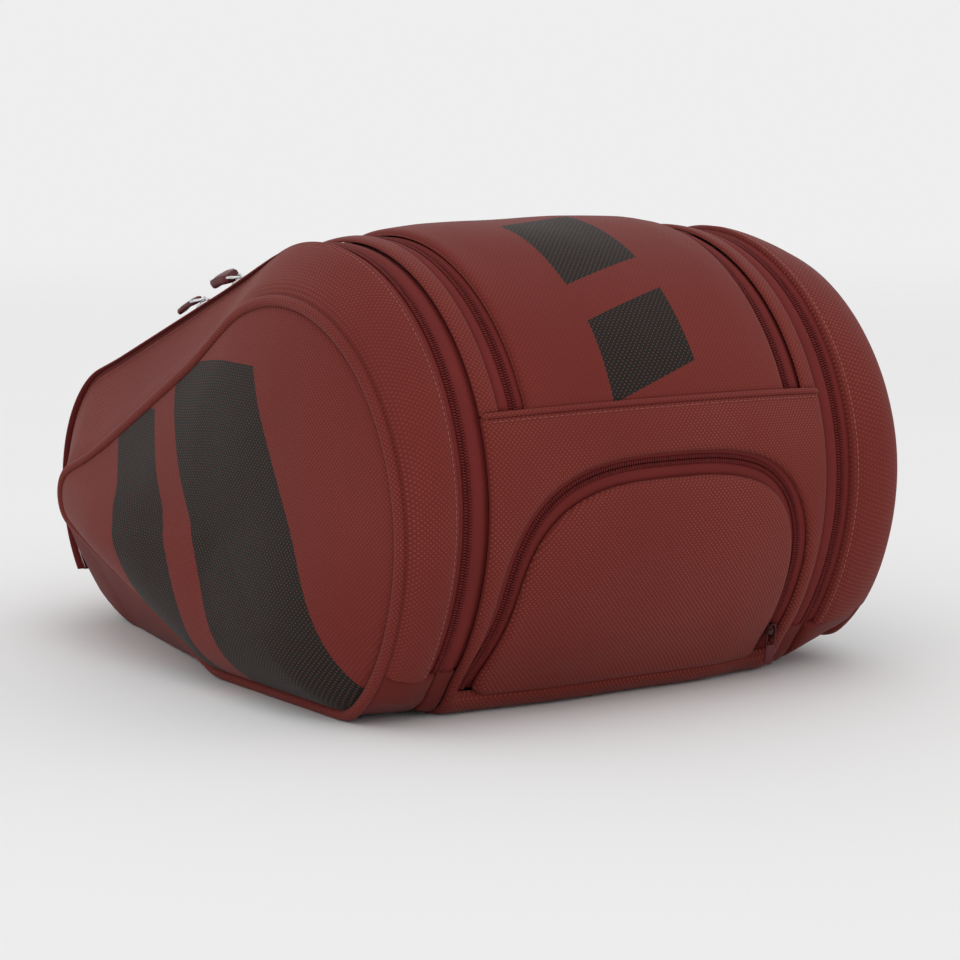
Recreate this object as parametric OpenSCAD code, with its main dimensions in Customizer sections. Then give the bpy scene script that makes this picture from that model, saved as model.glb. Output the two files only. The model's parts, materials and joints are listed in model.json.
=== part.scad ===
// Racket tournament bag, lying on its back panel.
// +X is to the right, +Y runs from the blunt shoe end to the narrow nose, +Z is up.
// The origin is on the floor, under the middle of the bag. Sizes are millimetres.
//
// Every wall follows one of two outlines in the YZ plane. Each is a large lobe and a small nose joined by
// tangents and cut by the floor. The seam outline runs round the zips at the edge of the middle section,
// and the piping outline runs round the domed side faces.

/* [Middle section] */
// Radius of the blunt end of the middle section
lobe_r = 163; // [150:1:175]
// Radius of the nose of the middle section
nose_r = 102; // [92:1:108]
// Distance from the lobe's centre to the nose's centre along the bag
lobe_to_nose = 283; // [260:1:300]
// Half the distance between the two racket zips
racket_zip_x = 160; // [150:1:170]
// Half the distance between the two long runs of the main zip
main_zip_x = 118; // [100:1:120]
// Height of the seam between the shoe end and the main flap
seam_z = 203; // [190:1:215]
// Length of the straight top that the main flap covers
flap_top_run = 268; // [240:1:272]

/* [Racket covers] */
// Radius of the blunt end of a side face
face_lobe_r = 146; // [135:1:150]
// Radius of the nose of a side face
face_nose_r = 22; // [16:1:30]
// Distance of the piping's centre line from the middle of the bag
piping_x = 203; // [196:1:210]
// Radius of the piping cord
piping_r = 4; // [3:0.5:5]
// How far a side face domes out past its piping
face_dome = 22; // [12:1:26]
// Height at which the racket zips end above the floor
zip_end_z = 38; // [35:1:55]

/* [Shoe pocket] */
// Half the width of the arch of the shoe zip
arch_half_w = 125; // [110:1:128]
// Height of the top of the arch
arch_top = 171; // [150:1:176]
// Height at which the legs of the arch turn straight
arch_spring = 60; // [50:1:80]
// Height of the flap's hinge line
arch_foot = 24; // [20:1:30]
// Depth of the shoe pocket from its mouth
garage_depth = 140; // [110:1:160]

/* [Fabric] */
// Thickness of the padded fabric
fabric_t = 3; // [2.5:0.5:4]
// Width of one side of a zip's tape
tape_w = 12; // [10:1:14]
// Width of the tape that shows beside a racket cover's edge
cover_tape_w = 6; // [5:0.5:6]
// Clearance between pieces
gap = 0.4; // [0.3:0.1:0.6]

/* [Back and straps] */
// Height of the hem that the bag stands on
hem_h = 12; // [11:0.5:14]
// Thickness of the padded back
back_t = 11; // [8:1:14]
// Width of a shoulder strap's pad
strap_w = 62; // [50:1:66]
// Thickness of a shoulder strap's pad
strap_t = 9; // [7:0.5:10]
// Width of the strap webbing
webbing_w = 25; // [20:1:30]

/* [Zip sliders] */
// Length of a slider
slider_l = 15; // [12:1:16]
// Width of a slider
slider_w = 9; // [8:0.5:9]
// Length of a racket zip's fabric pull tab
tab_l = 31; // [24:1:32]
// Width of a fabric pull tab
tab_w = 11; // [9:0.5:12]

/* [Hidden] */

$fn = 32;

// Colours
c_fabric = [0.42, 0.15, 0.13];
c_tape = [0.36, 0.10, 0.10];
c_foot = [0.38, 0.13, 0.12];
c_mesh = [0.10, 0.10, 0.10];
c_webbing = [0.08, 0.08, 0.08];
c_lining = [0.62, 0.62, 0.64];
c_metal = [0.78, 0.78, 0.79];
c_tab = [0.30, 0.10, 0.11];

// Layers, as distances outside the seam outline
tape_in = -0.6;
tape_out = 1.6;
panel_in = 2;
panel_out = panel_in + fabric_t;
shoe_out = panel_out + 2;

// Outlines: [lobe centre, lobe radius, nose centre, nose radius, floor height], in [y, z]
lobe_c = [-273 + lobe_r, 143];
seam_line = [lobe_c, lobe_r, [lobe_c.x + lobe_to_nose, nose_r], nose_r, 0];
piping_line = [[-262 + face_lobe_r, 126], face_lobe_r, [197, 103], face_nose_r, piping_r];

// Shares of the way round an outline at which its stretches end
t_top = 0.38;    // the lobe's arc meets the straight top
t_nose = 0.62;   // the straight top meets the nose
t_under = 0.78;  // the nose meets the rising underside
t_floor = 0.88;  // the rising underside meets the floor
t_step = 0.01;
t_gap = 0.0006;  // the clearance between two pieces that meet end to end
end_gap = 0.002; // and between a gusset's ends and the foot panel, which lie on different outlines

function dir(a) = [cos(a), sin(a)];
function mix(a, b, s) = a + (b - a) * s;
function grow(o, d) = [o[0], o[1] + d, o[2], o[3] + d, o[4] - d];
function tilt(o) = atan2(o[2].y - o[0].y, o[2].x - o[0].x);
function splay(o) = acos((o[1] - o[3]) / norm(o[2] - o[0]));
function top_a(o) = tilt(o) + splay(o);
function low_a(o) = tilt(o) - splay(o);
function arc_a(o, z) = 180 + asin((o[0].y - z) / o[1]);
function heel_a(o) = arc_a(o, o[4]);
function top_start(o) = o[0] + o[1] * dir(top_a(o));
function top_end(o) = o[2] + o[3] * dir(top_a(o));
function under_end(o) = o[2] + o[3] * dir(low_a(o));
function lift(o) = let (p = under_end(o), u = dir(low_a(o) + 90)) p + u * ((o[4] - p.y) / u.y);
function on_line(o, t) =
    t < t_top ? o[0] + o[1] * dir(mix(heel_a(o), top_a(o), t / t_top))
    : t < t_nose ? mix(top_start(o), top_end(o), (t - t_top) / (t_nose - t_top))
    : t < t_under ? o[2] + o[3] * dir(mix(top_a(o), low_a(o), (t - t_nose) / (t_under - t_nose)))
    : t < t_floor ? mix(under_end(o), lift(o), (t - t_under) / (t_floor - t_under))
    : mix(lift(o), o[0] + o[1] * dir(heel_a(o)), (t - t_floor) / (1 - t_floor));
function t_on_lobe(z) =
    t_top * (arc_a(seam_line, z) - heel_a(seam_line)) / (top_a(seam_line) - heel_a(seam_line));
function t_on_nose(z) =
    let (a = asin((z - nose_r) / nose_r))
    t_nose + (t_under - t_nose) * (a - top_a(seam_line)) / (low_a(seam_line) - top_a(seam_line));
top_len = norm(top_end(seam_line) - top_start(seam_line));
function t_on_top(s) = t_top + (t_nose - t_top) * s / top_len;
function steps(t0, t1) = let (n = max(1, ceil((t1 - t0) / t_step))) [for (i = [0:n]) mix(t0, t1, i / n)];
function flip(l) = [for (i = [len(l) - 1:-1:0]) l[i]];
function at_x(x, p) = [x, p.x, p.y];

// Places along the seam outline
t_seam = t_on_lobe(seam_z);
t_zip_near = t_on_lobe(zip_end_z);
t_zip_far = t_on_nose(zip_end_z);
t_hem_near = t_on_lobe(hem_h + gap);
t_hem_far = t_on_nose(hem_h + gap);
top_u = [sin(top_a(seam_line)), -cos(top_a(seam_line))];
flap_end_y = (top_start(seam_line) + flap_top_run * top_u).x;
board_z = hem_h + back_t + 2 * gap;
board_t = 2;
inside_floor = board_z + board_t + gap;
slider_a_s = 72;
slider_b_s = 128;
main_slider_x = 14;
hook_y = -150;
strap_foot_x = 100;

// A closed solid between two grids of points, each a list of rows that run the same way
module grid_solid(outer, inner, ring = false) {
    rows = len(outer);
    cols = len(outer[0]);
    count = rows * cols;
    last = ring ? cols - 1 : cols - 2;
    function o(r, c) = r * cols + c % cols;
    function i(r, c) = count + o(r, c);
    polyhedron(
        points = concat([for (row = outer) each row], [for (row = inner) each row]),
        faces = concat(
            [for (r = [0:rows - 2], c = [0:last]) each [
                [o(r, c), o(r + 1, c), o(r + 1, c + 1)], [o(r, c), o(r + 1, c + 1), o(r, c + 1)],
                [i(r, c), i(r + 1, c + 1), i(r + 1, c)], [i(r, c), i(r, c + 1), i(r + 1, c + 1)]]],
            [for (c = [0:last]) each [
                [o(0, c), o(0, c + 1), i(0, c + 1)], [o(0, c), i(0, c + 1), i(0, c)],
                [o(rows - 1, c), i(rows - 1, c + 1), o(rows - 1, c + 1)],
                [o(rows - 1, c), i(rows - 1, c), i(rows - 1, c + 1)]]],
            ring ? [] : [for (r = [0:rows - 2]) each [
                [o(r, 0), i(r + 1, 0), o(r + 1, 0)], [o(r, 0), i(r, 0), i(r + 1, 0)],
                [o(r, cols - 1), o(r + 1, cols - 1), i(r + 1, cols - 1)],
                [o(r, cols - 1), i(r + 1, cols - 1), i(r, cols - 1)]]]));
}

// A strip of the middle section's wall, from x0 to x1, between two layers
module wall_strip(out, in, t0, t1, x0, x1) {
    ts = steps(t0, t1);
    translate([x0, 0, 0]) rotate([90, 0, 90]) linear_extrude(x1 - x0)
        polygon(concat([for (t = ts) on_line(grow(seam_line, out), t)],
                       [for (t = flip(ts)) on_line(grow(seam_line, in), t)]));
}

// The arch of the shoe zip as a prism along Y: a rounded top on straight legs
module arch_prism(inset) {
    a = arch_half_w - inset;
    rise = arch_top - inset - arch_spring;
    power = 2 / 3;
    rotate([90, 0, 0]) translate([0, 0, 120]) linear_extrude(200)
        polygon(concat([[a, arch_foot]],
            [for (k = [0:5:180]) [
                a * sign(cos(k)) * pow(abs(cos(k)), power), arch_spring + rise * pow(sin(k), power)]],
            [[-a, arch_foot]]));
}

// The outline of the main flap seen from above, as a prism: square at the seam, round at the far corners
module flap_prism(inset) {
    w = main_zip_x - inset;
    end = flap_end_y - inset;
    r = 28;
    translate([0, 0, 150]) linear_extrude(250)
        polygon(concat([[w, -400]],
            [for (k = [0:10:90]) [w - r + r * cos(k), end - r + r * sin(k)]],
            [for (k = [90:10:180]) [-w + r + r * cos(k), end - r + r * sin(k)]],
            [[-w, -400]]));
}

module left_or_right(side) {
    if (side < 0) mirror([1, 0, 0]) children();
    else children();
}

// ---- main body ----

module back_panel() {
    near = -206;
    far = 214;
    color(c_mesh) translate([0, (near + far) / 2, hem_h + gap]) linear_extrude(back_t)
        rounded_plan(2 * racket_zip_x - 1, far - near, 5);
}

module rounded_plan(w, l, r) {
    polygon([for (q = [0:3], k = [0:10:90]) let (a = q * 90 + k) [
        (q == 0 || q == 3 ? 1 : -1) * (w / 2 - r) + r * cos(a),
        (q < 2 ? 1 : -1) * (l / 2 - r) + r * sin(a)]]);
}

module back_stiffener() {
    color(c_mesh) translate([0, 5, board_z]) linear_extrude(board_t) rounded_plan(280, 380, 20);
}

module base_hem() {
    near = -188;
    far = 172;
    color(c_foot) translate([0, (near + far) / 2, 0]) linear_extrude(hem_h) difference() {
        rounded_plan(2 * racket_zip_x - 1, far - near, 14);
        rounded_plan(2 * racket_zip_x - 21, far - near - 20, 8);
    }
}

module near_end_panel() {
    color(c_fabric) difference() {
        wall_strip(panel_out, panel_in, t_hem_near, t_seam - t_gap, -144.6, 144.6);
        arch_prism(-7);
    }
}

module near_seam_hem() {
    color(c_fabric)
        wall_strip(panel_out + 2.4, panel_out + gap / 2, t_seam - 0.0075, t_seam - t_gap, -140, 140);
}

module far_end_panel() {
    color(c_fabric) wall_strip(0, -fabric_t, t_on_top(flap_top_run + 13), t_hem_far, -144.6, 144.6);
}

module divider(side) {
    x = 145.6;
    t = 4;
    ts = steps(0, 0.9999);
    color(c_lining) left_or_right(side) intersection() {
        translate([x, 0, 0]) rotate([90, 0, 90]) linear_extrude(t)
            polygon([for (s = ts) on_line(grow(seam_line, -4), s)]);
        translate([x - 1, -300, inside_floor]) cube([t + 2, 600, 400]);
    }
}
module left_divider() { divider(-1); }
module right_divider() { divider(1); }

module top_band(side) {
    color(c_fabric) left_or_right(side)
        wall_strip(panel_out, panel_in, t_seam + t_gap, t_on_top(flap_top_run + 10), main_zip_x + 9, 144.6);
}
module left_top_band() { top_band(-1); }
module right_top_band() { top_band(1); }

module zip_body_tape(side) {
    color(c_tape) left_or_right(side)
        wall_strip(tape_out, tape_in, t_zip_near, t_zip_far, 145.2, racket_zip_x - gap);
}
module left_zip_body_tape() { zip_body_tape(-1); }
module right_zip_body_tape() { zip_body_tape(1); }

module main_zip_body_tape() {
    w = main_zip_x + tape_w;
    color(c_tape) difference() {
        wall_strip(tape_out, tape_in, t_seam + t_gap, t_on_top(flap_top_run + 12), -w, w);
        flap_prism(-gap);
    }
}

module shoe_zip_body_tape() {
    color(c_tape) difference() {
        intersection() {
            wall_strip(tape_out, tape_in, t_on_lobe(arch_foot - 2), t_on_lobe(arch_top + 25), -140, 140);
            arch_prism(-tape_w);
        }
        arch_prism(-gap);
    }
}

module shoe_garage() {
    w = arch_half_w + 4;
    mouth = -290;
    deep = -250 + garage_depth;
    top = arch_top + 10;
    wall = 2;
    color(c_mesh) intersection() {
        translate([-w, mouth, inside_floor]) difference() {
            cube([2 * w, deep - mouth, top - inside_floor]);
            translate([wall, -1, wall]) cube([2 * (w - wall), deep - mouth - wall + 1, top - inside_floor - 2 * wall]);
        }
        translate([-w - 1, 0, 0]) rotate([90, 0, 90]) linear_extrude(2 * w + 2)
            polygon([for (s = steps(0, 0.9999)) on_line(grow(seam_line, -5), s)]);
    }
}

module zip_end_tabs() {
    color(c_fabric) for (side = [-1, 1]) left_or_right(side) {
        wall_strip(tape_out, tape_in, t_hem_near, t_zip_near - t_gap, 145.2, racket_zip_x - gap);
        wall_strip(tape_out, tape_in, t_zip_far + t_gap, t_hem_far, 145.2, racket_zip_x - gap);
    }
}

// The fixed panel under a racket cover, from one zip end round under the bag to the other
module foot_panel(side) {
    far_part = steps(t_zip_far + t_gap, 1);
    near_part = steps(0, t_zip_near - t_gap);
    ts = concat([for (i = [0:len(far_part) - 2]) far_part[i]], near_part);
    function row(x, share, sink) = [for (t = ts) at_x(x, mix(
        on_line(grow(seam_line, -sink), t), on_line(grow(piping_line, 3 - sink), t), share))];
    x0 = racket_zip_x + gap;
    x1 = piping_x - piping_r - gap;
    color(c_foot) left_or_right(side)
        grid_solid([row(x0, 0, 0), row(mix(x0, x1, 0.5), 0.42, 0), row(x1, 1, 0)],
                   [row(x0, 0, fabric_t), row(mix(x0, x1, 0.5), 0.42, fabric_t), row(x1, 1, fabric_t)]);
}
module left_foot_panel() { foot_panel(-1); }
module right_foot_panel() { foot_panel(1); }

module grab_handle() {
    a = -42;
    reach = 31;
    band_w = 24;
    half_w = 62;
    strap = 3.5;
    base = seam_line[2] + (seam_line[3] + gap) * dir(a);
    color(c_webbing) translate([0, base.x, base.y]) rotate([a, 0, 0]) translate([0, 0, -band_w / 2])
        linear_extrude(band_w) {
            difference() {
                translate([-half_w, 0]) square([2 * half_w, reach]);
                translate([-half_w + strap, -1]) square([2 * (half_w - strap), reach - strap + 1]);
            }
            for (s = [-1, 1]) translate([s * (half_w + 9) - 10, 0]) square([20, 2]);
        }
}

module strap_d_rings() {
    color(c_metal) for (s = [-1, 1]) translate([s * strap_foot_x, hook_y - 14, 6]) {
        difference() {
            translate([-17, -4, -1.5]) cube([34, 20, 3]);
            translate([-13.5, -0.5, -3]) cube([27, 13, 6]);
        }
    }
}

// ---- racket covers ----

module gusset(side) {
    ts = steps(t_zip_near + end_gap, t_zip_far - end_gap);
    x0 = racket_zip_x + cover_tape_w + gap;
    x1 = piping_x - piping_r - gap;
    crown = 4;
    function row(x, share, out) = [for (t = ts) at_x(x, mix(
        on_line(grow(seam_line, panel_in + out), t), on_line(grow(piping_line, out - 2), t), share))];
    function rows(out) = [row(x0, 0, out), row(mix(x0, x1, 0.34), 0.26, out + crown * 0.9),
        row(mix(x0, x1, 0.68), 0.6, out + crown), row(x1, 1, out)];
    color(c_fabric) left_or_right(side) grid_solid(rows(fabric_t), rows(0));
}
module left_gusset() { gusset(-1); }
module right_gusset() { gusset(1); }

// Rows of a side face, drawn in towards its crown and domed outwards
function dome_rows(edge, lift, shares) =
    let (crown = [-70, 112], n = 60)
    [for (s = shares) [for (i = [0:n - 1]) at_x(
        piping_x + lift + face_dome * (1 - pow(s, 2.4)),
        mix(crown, on_line(grow(piping_line, edge), i / n), s))]];

module face(side) {
    shares = [1, 0.93, 0.82, 0.66, 0.48, 0.28, 0.1];
    edge = -piping_r - gap;
    color(c_fabric) left_or_right(side) dome_solid(edge, 0, fabric_t, shares);
}
module left_face() { face(-1); }
module right_face() { face(1); }

// A closed dome: the outer rows, a small flat crown, and the same rows again one thickness in
module dome_solid(edge, lift, thick, shares) {
    outer = dome_rows(edge, lift, shares);
    inner = dome_rows(edge, lift - thick, shares);
    rows = len(outer);
    cols = len(outer[0]);
    count = rows * cols;
    function o(r, c) = r * cols + c % cols;
    function i(r, c) = count + o(r, c);
    polyhedron(
        points = concat([for (row = outer) each row], [for (row = inner) each row]),
        faces = concat(
            [for (r = [0:rows - 2], c = [0:cols - 1]) each [
                [o(r, c), o(r, c + 1), o(r + 1, c + 1)], [o(r, c), o(r + 1, c + 1), o(r + 1, c)],
                [i(r, c), i(r + 1, c + 1), i(r, c + 1)], [i(r, c), i(r + 1, c), i(r + 1, c + 1)]]],
            [for (c = [0:cols - 1]) each [
                [o(0, c), i(0, c + 1), o(0, c + 1)], [o(0, c), i(0, c), i(0, c + 1)]]],
            [[for (c = [0:cols - 1]) o(rows - 1, c)], [for (c = [cols - 1:-1:0]) i(rows - 1, c)]]));
}

module piping(side) {
    ts = steps(0, 0.9999);
    n = len(ts) - 1;
    sides = 8;
    p = [for (i = [0:n - 1]) on_line(piping_line, ts[i])];
    function out(i) = let (d = p[(i + 1) % n] - p[(i + n - 1) % n]) [-d.y, d.x] / norm(d);
    ring = [for (i = [0:n - 1]) let (m = out(i)) [for (k = [0:sides - 1])
        let (q = p[i] + m * piping_r * cos(k * 360 / sides)) [piping_x + piping_r * sin(k * 360 / sides), q.x, q.y]]];
    color(c_fabric) left_or_right(side) polyhedron(
        points = [for (r = ring) each r],
        faces = [for (i = [0:n - 1], k = [0:sides - 1])
            let (a = i * sides + k, b = i * sides + (k + 1) % sides,
                 c = ((i + 1) % n) * sides + (k + 1) % sides, d = ((i + 1) % n) * sides + k)
            each [[a, b, c], [a, c, d]]]);
}
module left_piping() { piping(-1); }
module right_piping() { piping(1); }

module zip_cover_tape(side) {
    color(c_tape) left_or_right(side)
        wall_strip(tape_out, tape_in, t_zip_near, t_zip_far, racket_zip_x + gap, racket_zip_x + cover_tape_w);
}
module left_zip_cover_tape() { zip_cover_tape(-1); }
module right_zip_cover_tape() { zip_cover_tape(1); }

module lining(side) {
    shares = [0.96, 0.82, 0.66, 0.48, 0.28, 0.1];
    color(c_lining) left_or_right(side)
        dome_solid(-piping_r - gap, -fabric_t - gap, 1.2, shares);
}
module left_lining() { lining(-1); }
module right_lining() { lining(1); }

// ---- main flap and shoe flap ----

module flap_panel() {
    color(c_fabric) intersection() {
        wall_strip(panel_out, panel_in, t_seam + t_gap, t_on_top(flap_top_run), -main_zip_x, main_zip_x);
        flap_prism(8);
    }
}

module flap_zip_tape() {
    color(c_tape) difference() {
        intersection() {
            wall_strip(tape_out, tape_in, t_seam + t_gap, t_on_top(flap_top_run + 4), -main_zip_x, main_zip_x);
            flap_prism(gap);
        }
        flap_prism(tape_w);
    }
}

module flap_mesh_pocket() {
    color(c_mesh) wall_strip(tape_out, 0.4, t_on_top(40), t_on_top(230), -92, 92);
}

module shoe_flap_panel() {
    color(c_fabric) intersection() {
        wall_strip(shoe_out, panel_in, t_on_lobe(arch_foot - 6), t_on_lobe(arch_top + 5), -arch_half_w, arch_half_w);
        arch_prism(7);
    }
}

module shoe_flap_tape() {
    color(c_tape) difference() {
        intersection() {
            wall_strip(tape_out, tape_in, t_on_lobe(arch_foot - 6), t_on_lobe(arch_top + 5),
                       -arch_half_w, arch_half_w);
            arch_prism(gap);
        }
        arch_prism(tape_w);
    }
}

// ---- zip sliders: drawn along +Y, standing on z = 0, with the pull's axis over the origin ----

pull_z = 4.6;
bar_r = 0.9;
tab_t = 2.2;

module slider_shape() {
    color(c_metal) {
        hull() {
            translate([0, slider_l / 2 - slider_w / 2, 0]) cylinder(d = slider_w, h = 1.6);
            translate([-slider_w / 2 + 1, -slider_l / 2, 0]) cube([slider_w - 2, 1, 1.6]);
        }
        for (s = [-1, 1]) translate([-1.2, s * 4.4 - 0.8, 1]) cube([2.4, 1.6, 6.2]);
        translate([-1.2, -5.2, 6]) cube([2.4, 10.4, 1.2]);
    }
}

module puller_shape() {
    color(c_metal) translate([0, 0, pull_z]) {
        translate([-4.2, 0, 0]) rotate([0, 90, 0]) cylinder(r = bar_r, h = 8.4);
        for (s = [-1, 1]) translate([s * 3.6 - 0.8, 0, -bar_r]) cube([1.6, 11, 2 * bar_r]);
        translate([-4.4, 9.5, -bar_r]) cube([8.8, 1.8, 2 * bar_r]);
    }
}

module tab_shape(length) {
    color(c_tab) translate([0, 11.6, pull_z - tab_t / 2]) linear_extrude(tab_t)
        polygon([[-tab_w / 2, 0], [tab_w / 2, 0], [tab_w / 2, length - 4], [tab_w / 2 - 4, length],
                 [-tab_w / 2 + 4, length], [-tab_w / 2, length - 4]]);
}

slider_lift = tape_out + 0.8;
// Puts a slider on the straight top, s along it from the lobe
module on_top(side, x, s) {
    p = top_start(grow(seam_line, slider_lift)) + s * top_u;
    translate([side * x, p.x, p.y]) rotate([top_a(seam_line) - 90, 0, 0]) children();
}
module left_slider_a() { on_top(-1, racket_zip_x, slider_a_s) slider_shape(); }
module left_slider_b() { on_top(-1, racket_zip_x, slider_b_s) slider_shape(); }
module right_slider_a() { on_top(1, racket_zip_x, slider_a_s) slider_shape(); }
module right_slider_b() { on_top(1, racket_zip_x, slider_b_s) slider_shape(); }
module left_puller_a() { on_top(-1, racket_zip_x, slider_a_s) puller_shape(); }
module left_puller_b() { on_top(-1, racket_zip_x, slider_b_s) puller_shape(); }
module right_puller_a() { on_top(1, racket_zip_x, slider_a_s) puller_shape(); }
module right_puller_b() { on_top(1, racket_zip_x, slider_b_s) puller_shape(); }
module left_tab_a() { on_top(-1, racket_zip_x, slider_a_s) tab_shape(tab_l); }
module left_tab_b() { on_top(-1, racket_zip_x, slider_b_s) tab_shape(tab_l); }
module right_tab_a() { on_top(1, racket_zip_x, slider_a_s) tab_shape(tab_l); }
module right_tab_b() { on_top(1, racket_zip_x, slider_b_s) tab_shape(tab_l); }

// The main zip's sliders meet in the middle of its cross run, and their pulls lie outwards
module main_slider_place(side) {
    on_top(side, main_slider_x, flap_top_run) rotate([0, 0, -side * 90]) children();
}
module main_slider_left() { main_slider_place(-1) slider_shape(); }
module main_slider_right() { main_slider_place(1) slider_shape(); }
module pull_shape(length) {
    puller_shape();
    tab_shape(length);
}
module main_pull_left() { main_slider_place(-1) pull_shape(tab_l - 3); }
module main_pull_right() { main_slider_place(1) pull_shape(tab_l - 3); }

// The shoe zip's slider is parked low on the right leg of the arch, and its pull hangs straight down
shoe_slider_a = arc_a(seam_line, 42);
shoe_tab_l = 13;
module shoe_slider_place() {
    p = lobe_c + (lobe_r + slider_lift) * dir(shoe_slider_a);
    translate([arch_half_w, p.x, p.y]) rotate([shoe_slider_a - 90, 0, 0]) rotate([0, 0, 180]) children();
}
module shoe_slider() { shoe_slider_place() slider_shape(); }
module shoe_pull() {
    shoe_slider_place() translate([0, 0, pull_z]) rotate([shoe_slider_a - 180, 0, 0])
        translate([0, 0, -pull_z]) pull_shape(shoe_tab_l);
}

// ---- shoulder straps, flat in the space that the hem leaves under the back ----

strap_z = 1.2;
pad_top_y = 160;
pad_len = 235;
strap_top_x = 66;

// The pad's middle line runs straight from the top, then flares out towards the lower corner
module strap_pad(side) {
    w = strap_w / 2;
    step = (pad_len - 16) / 6;
    function flare(k) = (strap_foot_x - strap_top_x) * (1 - cos(k * 30)) / 2;
    color(c_mesh) left_or_right(side) translate([strap_top_x, pad_top_y, strap_z]) linear_extrude(strap_t)
        polygon(concat([[-w, -8], [-w + 8, 0], [w - 8, 0], [w, -8]],
            [for (k = [1:6]) [w + flare(k), -8 - k * step]], [[w + flare(6) - 8, -pad_len]],
            [[flare(6) - w + 8, -pad_len]], [for (k = [6:-1:1]) [flare(k) - w, -8 - k * step]]));
}
module left_strap_pad() { strap_pad(-1); }
module right_strap_pad() { strap_pad(1); }

// Each strap ends in a ladder lock, a length of webbing and a clip on the hem's ring, in one line
lock_l = 22;
clip_l = 20;
lock_y = pad_top_y - pad_len - gap - lock_l;
clip_y = hook_y + 4;
module strap_webbing(side) {
    from = clip_y + clip_l + gap;
    color(c_webbing) left_or_right(side) translate([strap_foot_x - webbing_w / 2, from, strap_z + 3])
        cube([webbing_w, lock_y - gap - from, 2]);
}
module left_strap_webbing() { strap_webbing(-1); }
module right_strap_webbing() { strap_webbing(1); }

module strap_hardware(side) {
    color(c_webbing) left_or_right(side) {
        translate([strap_foot_x - 17, lock_y, strap_z + 0.5]) difference() {
            cube([34, lock_l, 8]);
            for (y = [3, 12.5]) translate([4, y, -1]) cube([26, 6, 10]);
        }
        translate([strap_foot_x - 16, clip_y, strap_z + 0.5]) difference() {
            cube([32, clip_l, 8]);
            translate([4, 12, -1]) cube([24, 5, 10]);
        }
    }
}
module left_strap_hardware() { strap_hardware(-1); }
module right_strap_hardware() { strap_hardware(1); }

back_panel();
back_stiffener();
base_hem();
near_end_panel();
near_seam_hem();
far_end_panel();
left_divider();
right_divider();
left_top_band();
right_top_band();
left_zip_body_tape();
right_zip_body_tape();
main_zip_body_tape();
shoe_zip_body_tape();
shoe_garage();
zip_end_tabs();
left_foot_panel();
right_foot_panel();
grab_handle();
strap_d_rings();
left_gusset();
left_face();
left_piping();
left_zip_cover_tape();
left_lining();
right_gusset();
right_face();
right_piping();
right_zip_cover_tape();
right_lining();
flap_panel();
flap_zip_tape();
flap_mesh_pocket();
shoe_flap_panel();
shoe_flap_tape();
left_slider_a();
left_slider_b();
right_slider_a();
right_slider_b();
left_puller_a();
left_puller_b();
right_puller_a();
right_puller_b();
left_tab_a();
left_tab_b();
right_tab_a();
right_tab_b();
main_slider_left();
main_slider_right();
main_pull_left();
main_pull_right();
shoe_slider();
shoe_pull();
left_strap_pad();
left_strap_webbing();
left_strap_hardware();
right_strap_pad();
right_strap_webbing();
right_strap_hardware();
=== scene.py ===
"""Racket tournament bag: cloth, zips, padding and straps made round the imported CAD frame.

Metres. +X is to the right, +Y runs from the blunt shoe end to the narrow nose, +Z is up.
"""

import json
import math
from functools import reduce

import bmesh
import bpy
import numpy as np
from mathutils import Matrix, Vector, noise


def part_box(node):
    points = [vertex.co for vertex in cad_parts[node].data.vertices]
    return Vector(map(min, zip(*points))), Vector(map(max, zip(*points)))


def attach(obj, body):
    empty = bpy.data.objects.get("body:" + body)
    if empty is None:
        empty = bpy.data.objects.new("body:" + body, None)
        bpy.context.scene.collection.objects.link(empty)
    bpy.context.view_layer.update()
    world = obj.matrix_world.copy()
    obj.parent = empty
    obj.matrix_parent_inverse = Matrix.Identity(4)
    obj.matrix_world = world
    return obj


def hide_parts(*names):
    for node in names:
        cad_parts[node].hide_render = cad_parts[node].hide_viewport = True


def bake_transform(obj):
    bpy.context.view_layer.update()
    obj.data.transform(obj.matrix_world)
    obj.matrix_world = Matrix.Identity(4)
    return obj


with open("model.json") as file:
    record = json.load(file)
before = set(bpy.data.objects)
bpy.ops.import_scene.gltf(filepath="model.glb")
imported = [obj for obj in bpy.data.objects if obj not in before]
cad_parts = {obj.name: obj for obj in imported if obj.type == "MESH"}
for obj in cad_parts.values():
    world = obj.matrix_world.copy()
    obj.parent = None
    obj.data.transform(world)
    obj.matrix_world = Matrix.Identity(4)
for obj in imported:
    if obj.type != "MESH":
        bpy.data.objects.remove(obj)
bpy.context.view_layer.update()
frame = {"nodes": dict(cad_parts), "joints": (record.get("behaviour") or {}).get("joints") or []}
NODE = frame["nodes"]
PIVOT = {joint["name"]: np.array(joint["pos_m"]) for joint in frame["joints"] if "pos_m" in joint}


# ---------------------------------------------------------------- the two outlines

T_TOP, T_NOSE, T_UNDER, T_FLOOR = 0.38, 0.62, 0.78, 0.88


def unit(angle):
    """The unit vectors (y, z) at angles from +Y."""
    return np.stack([np.cos(angle), np.sin(angle)], -1)


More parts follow.
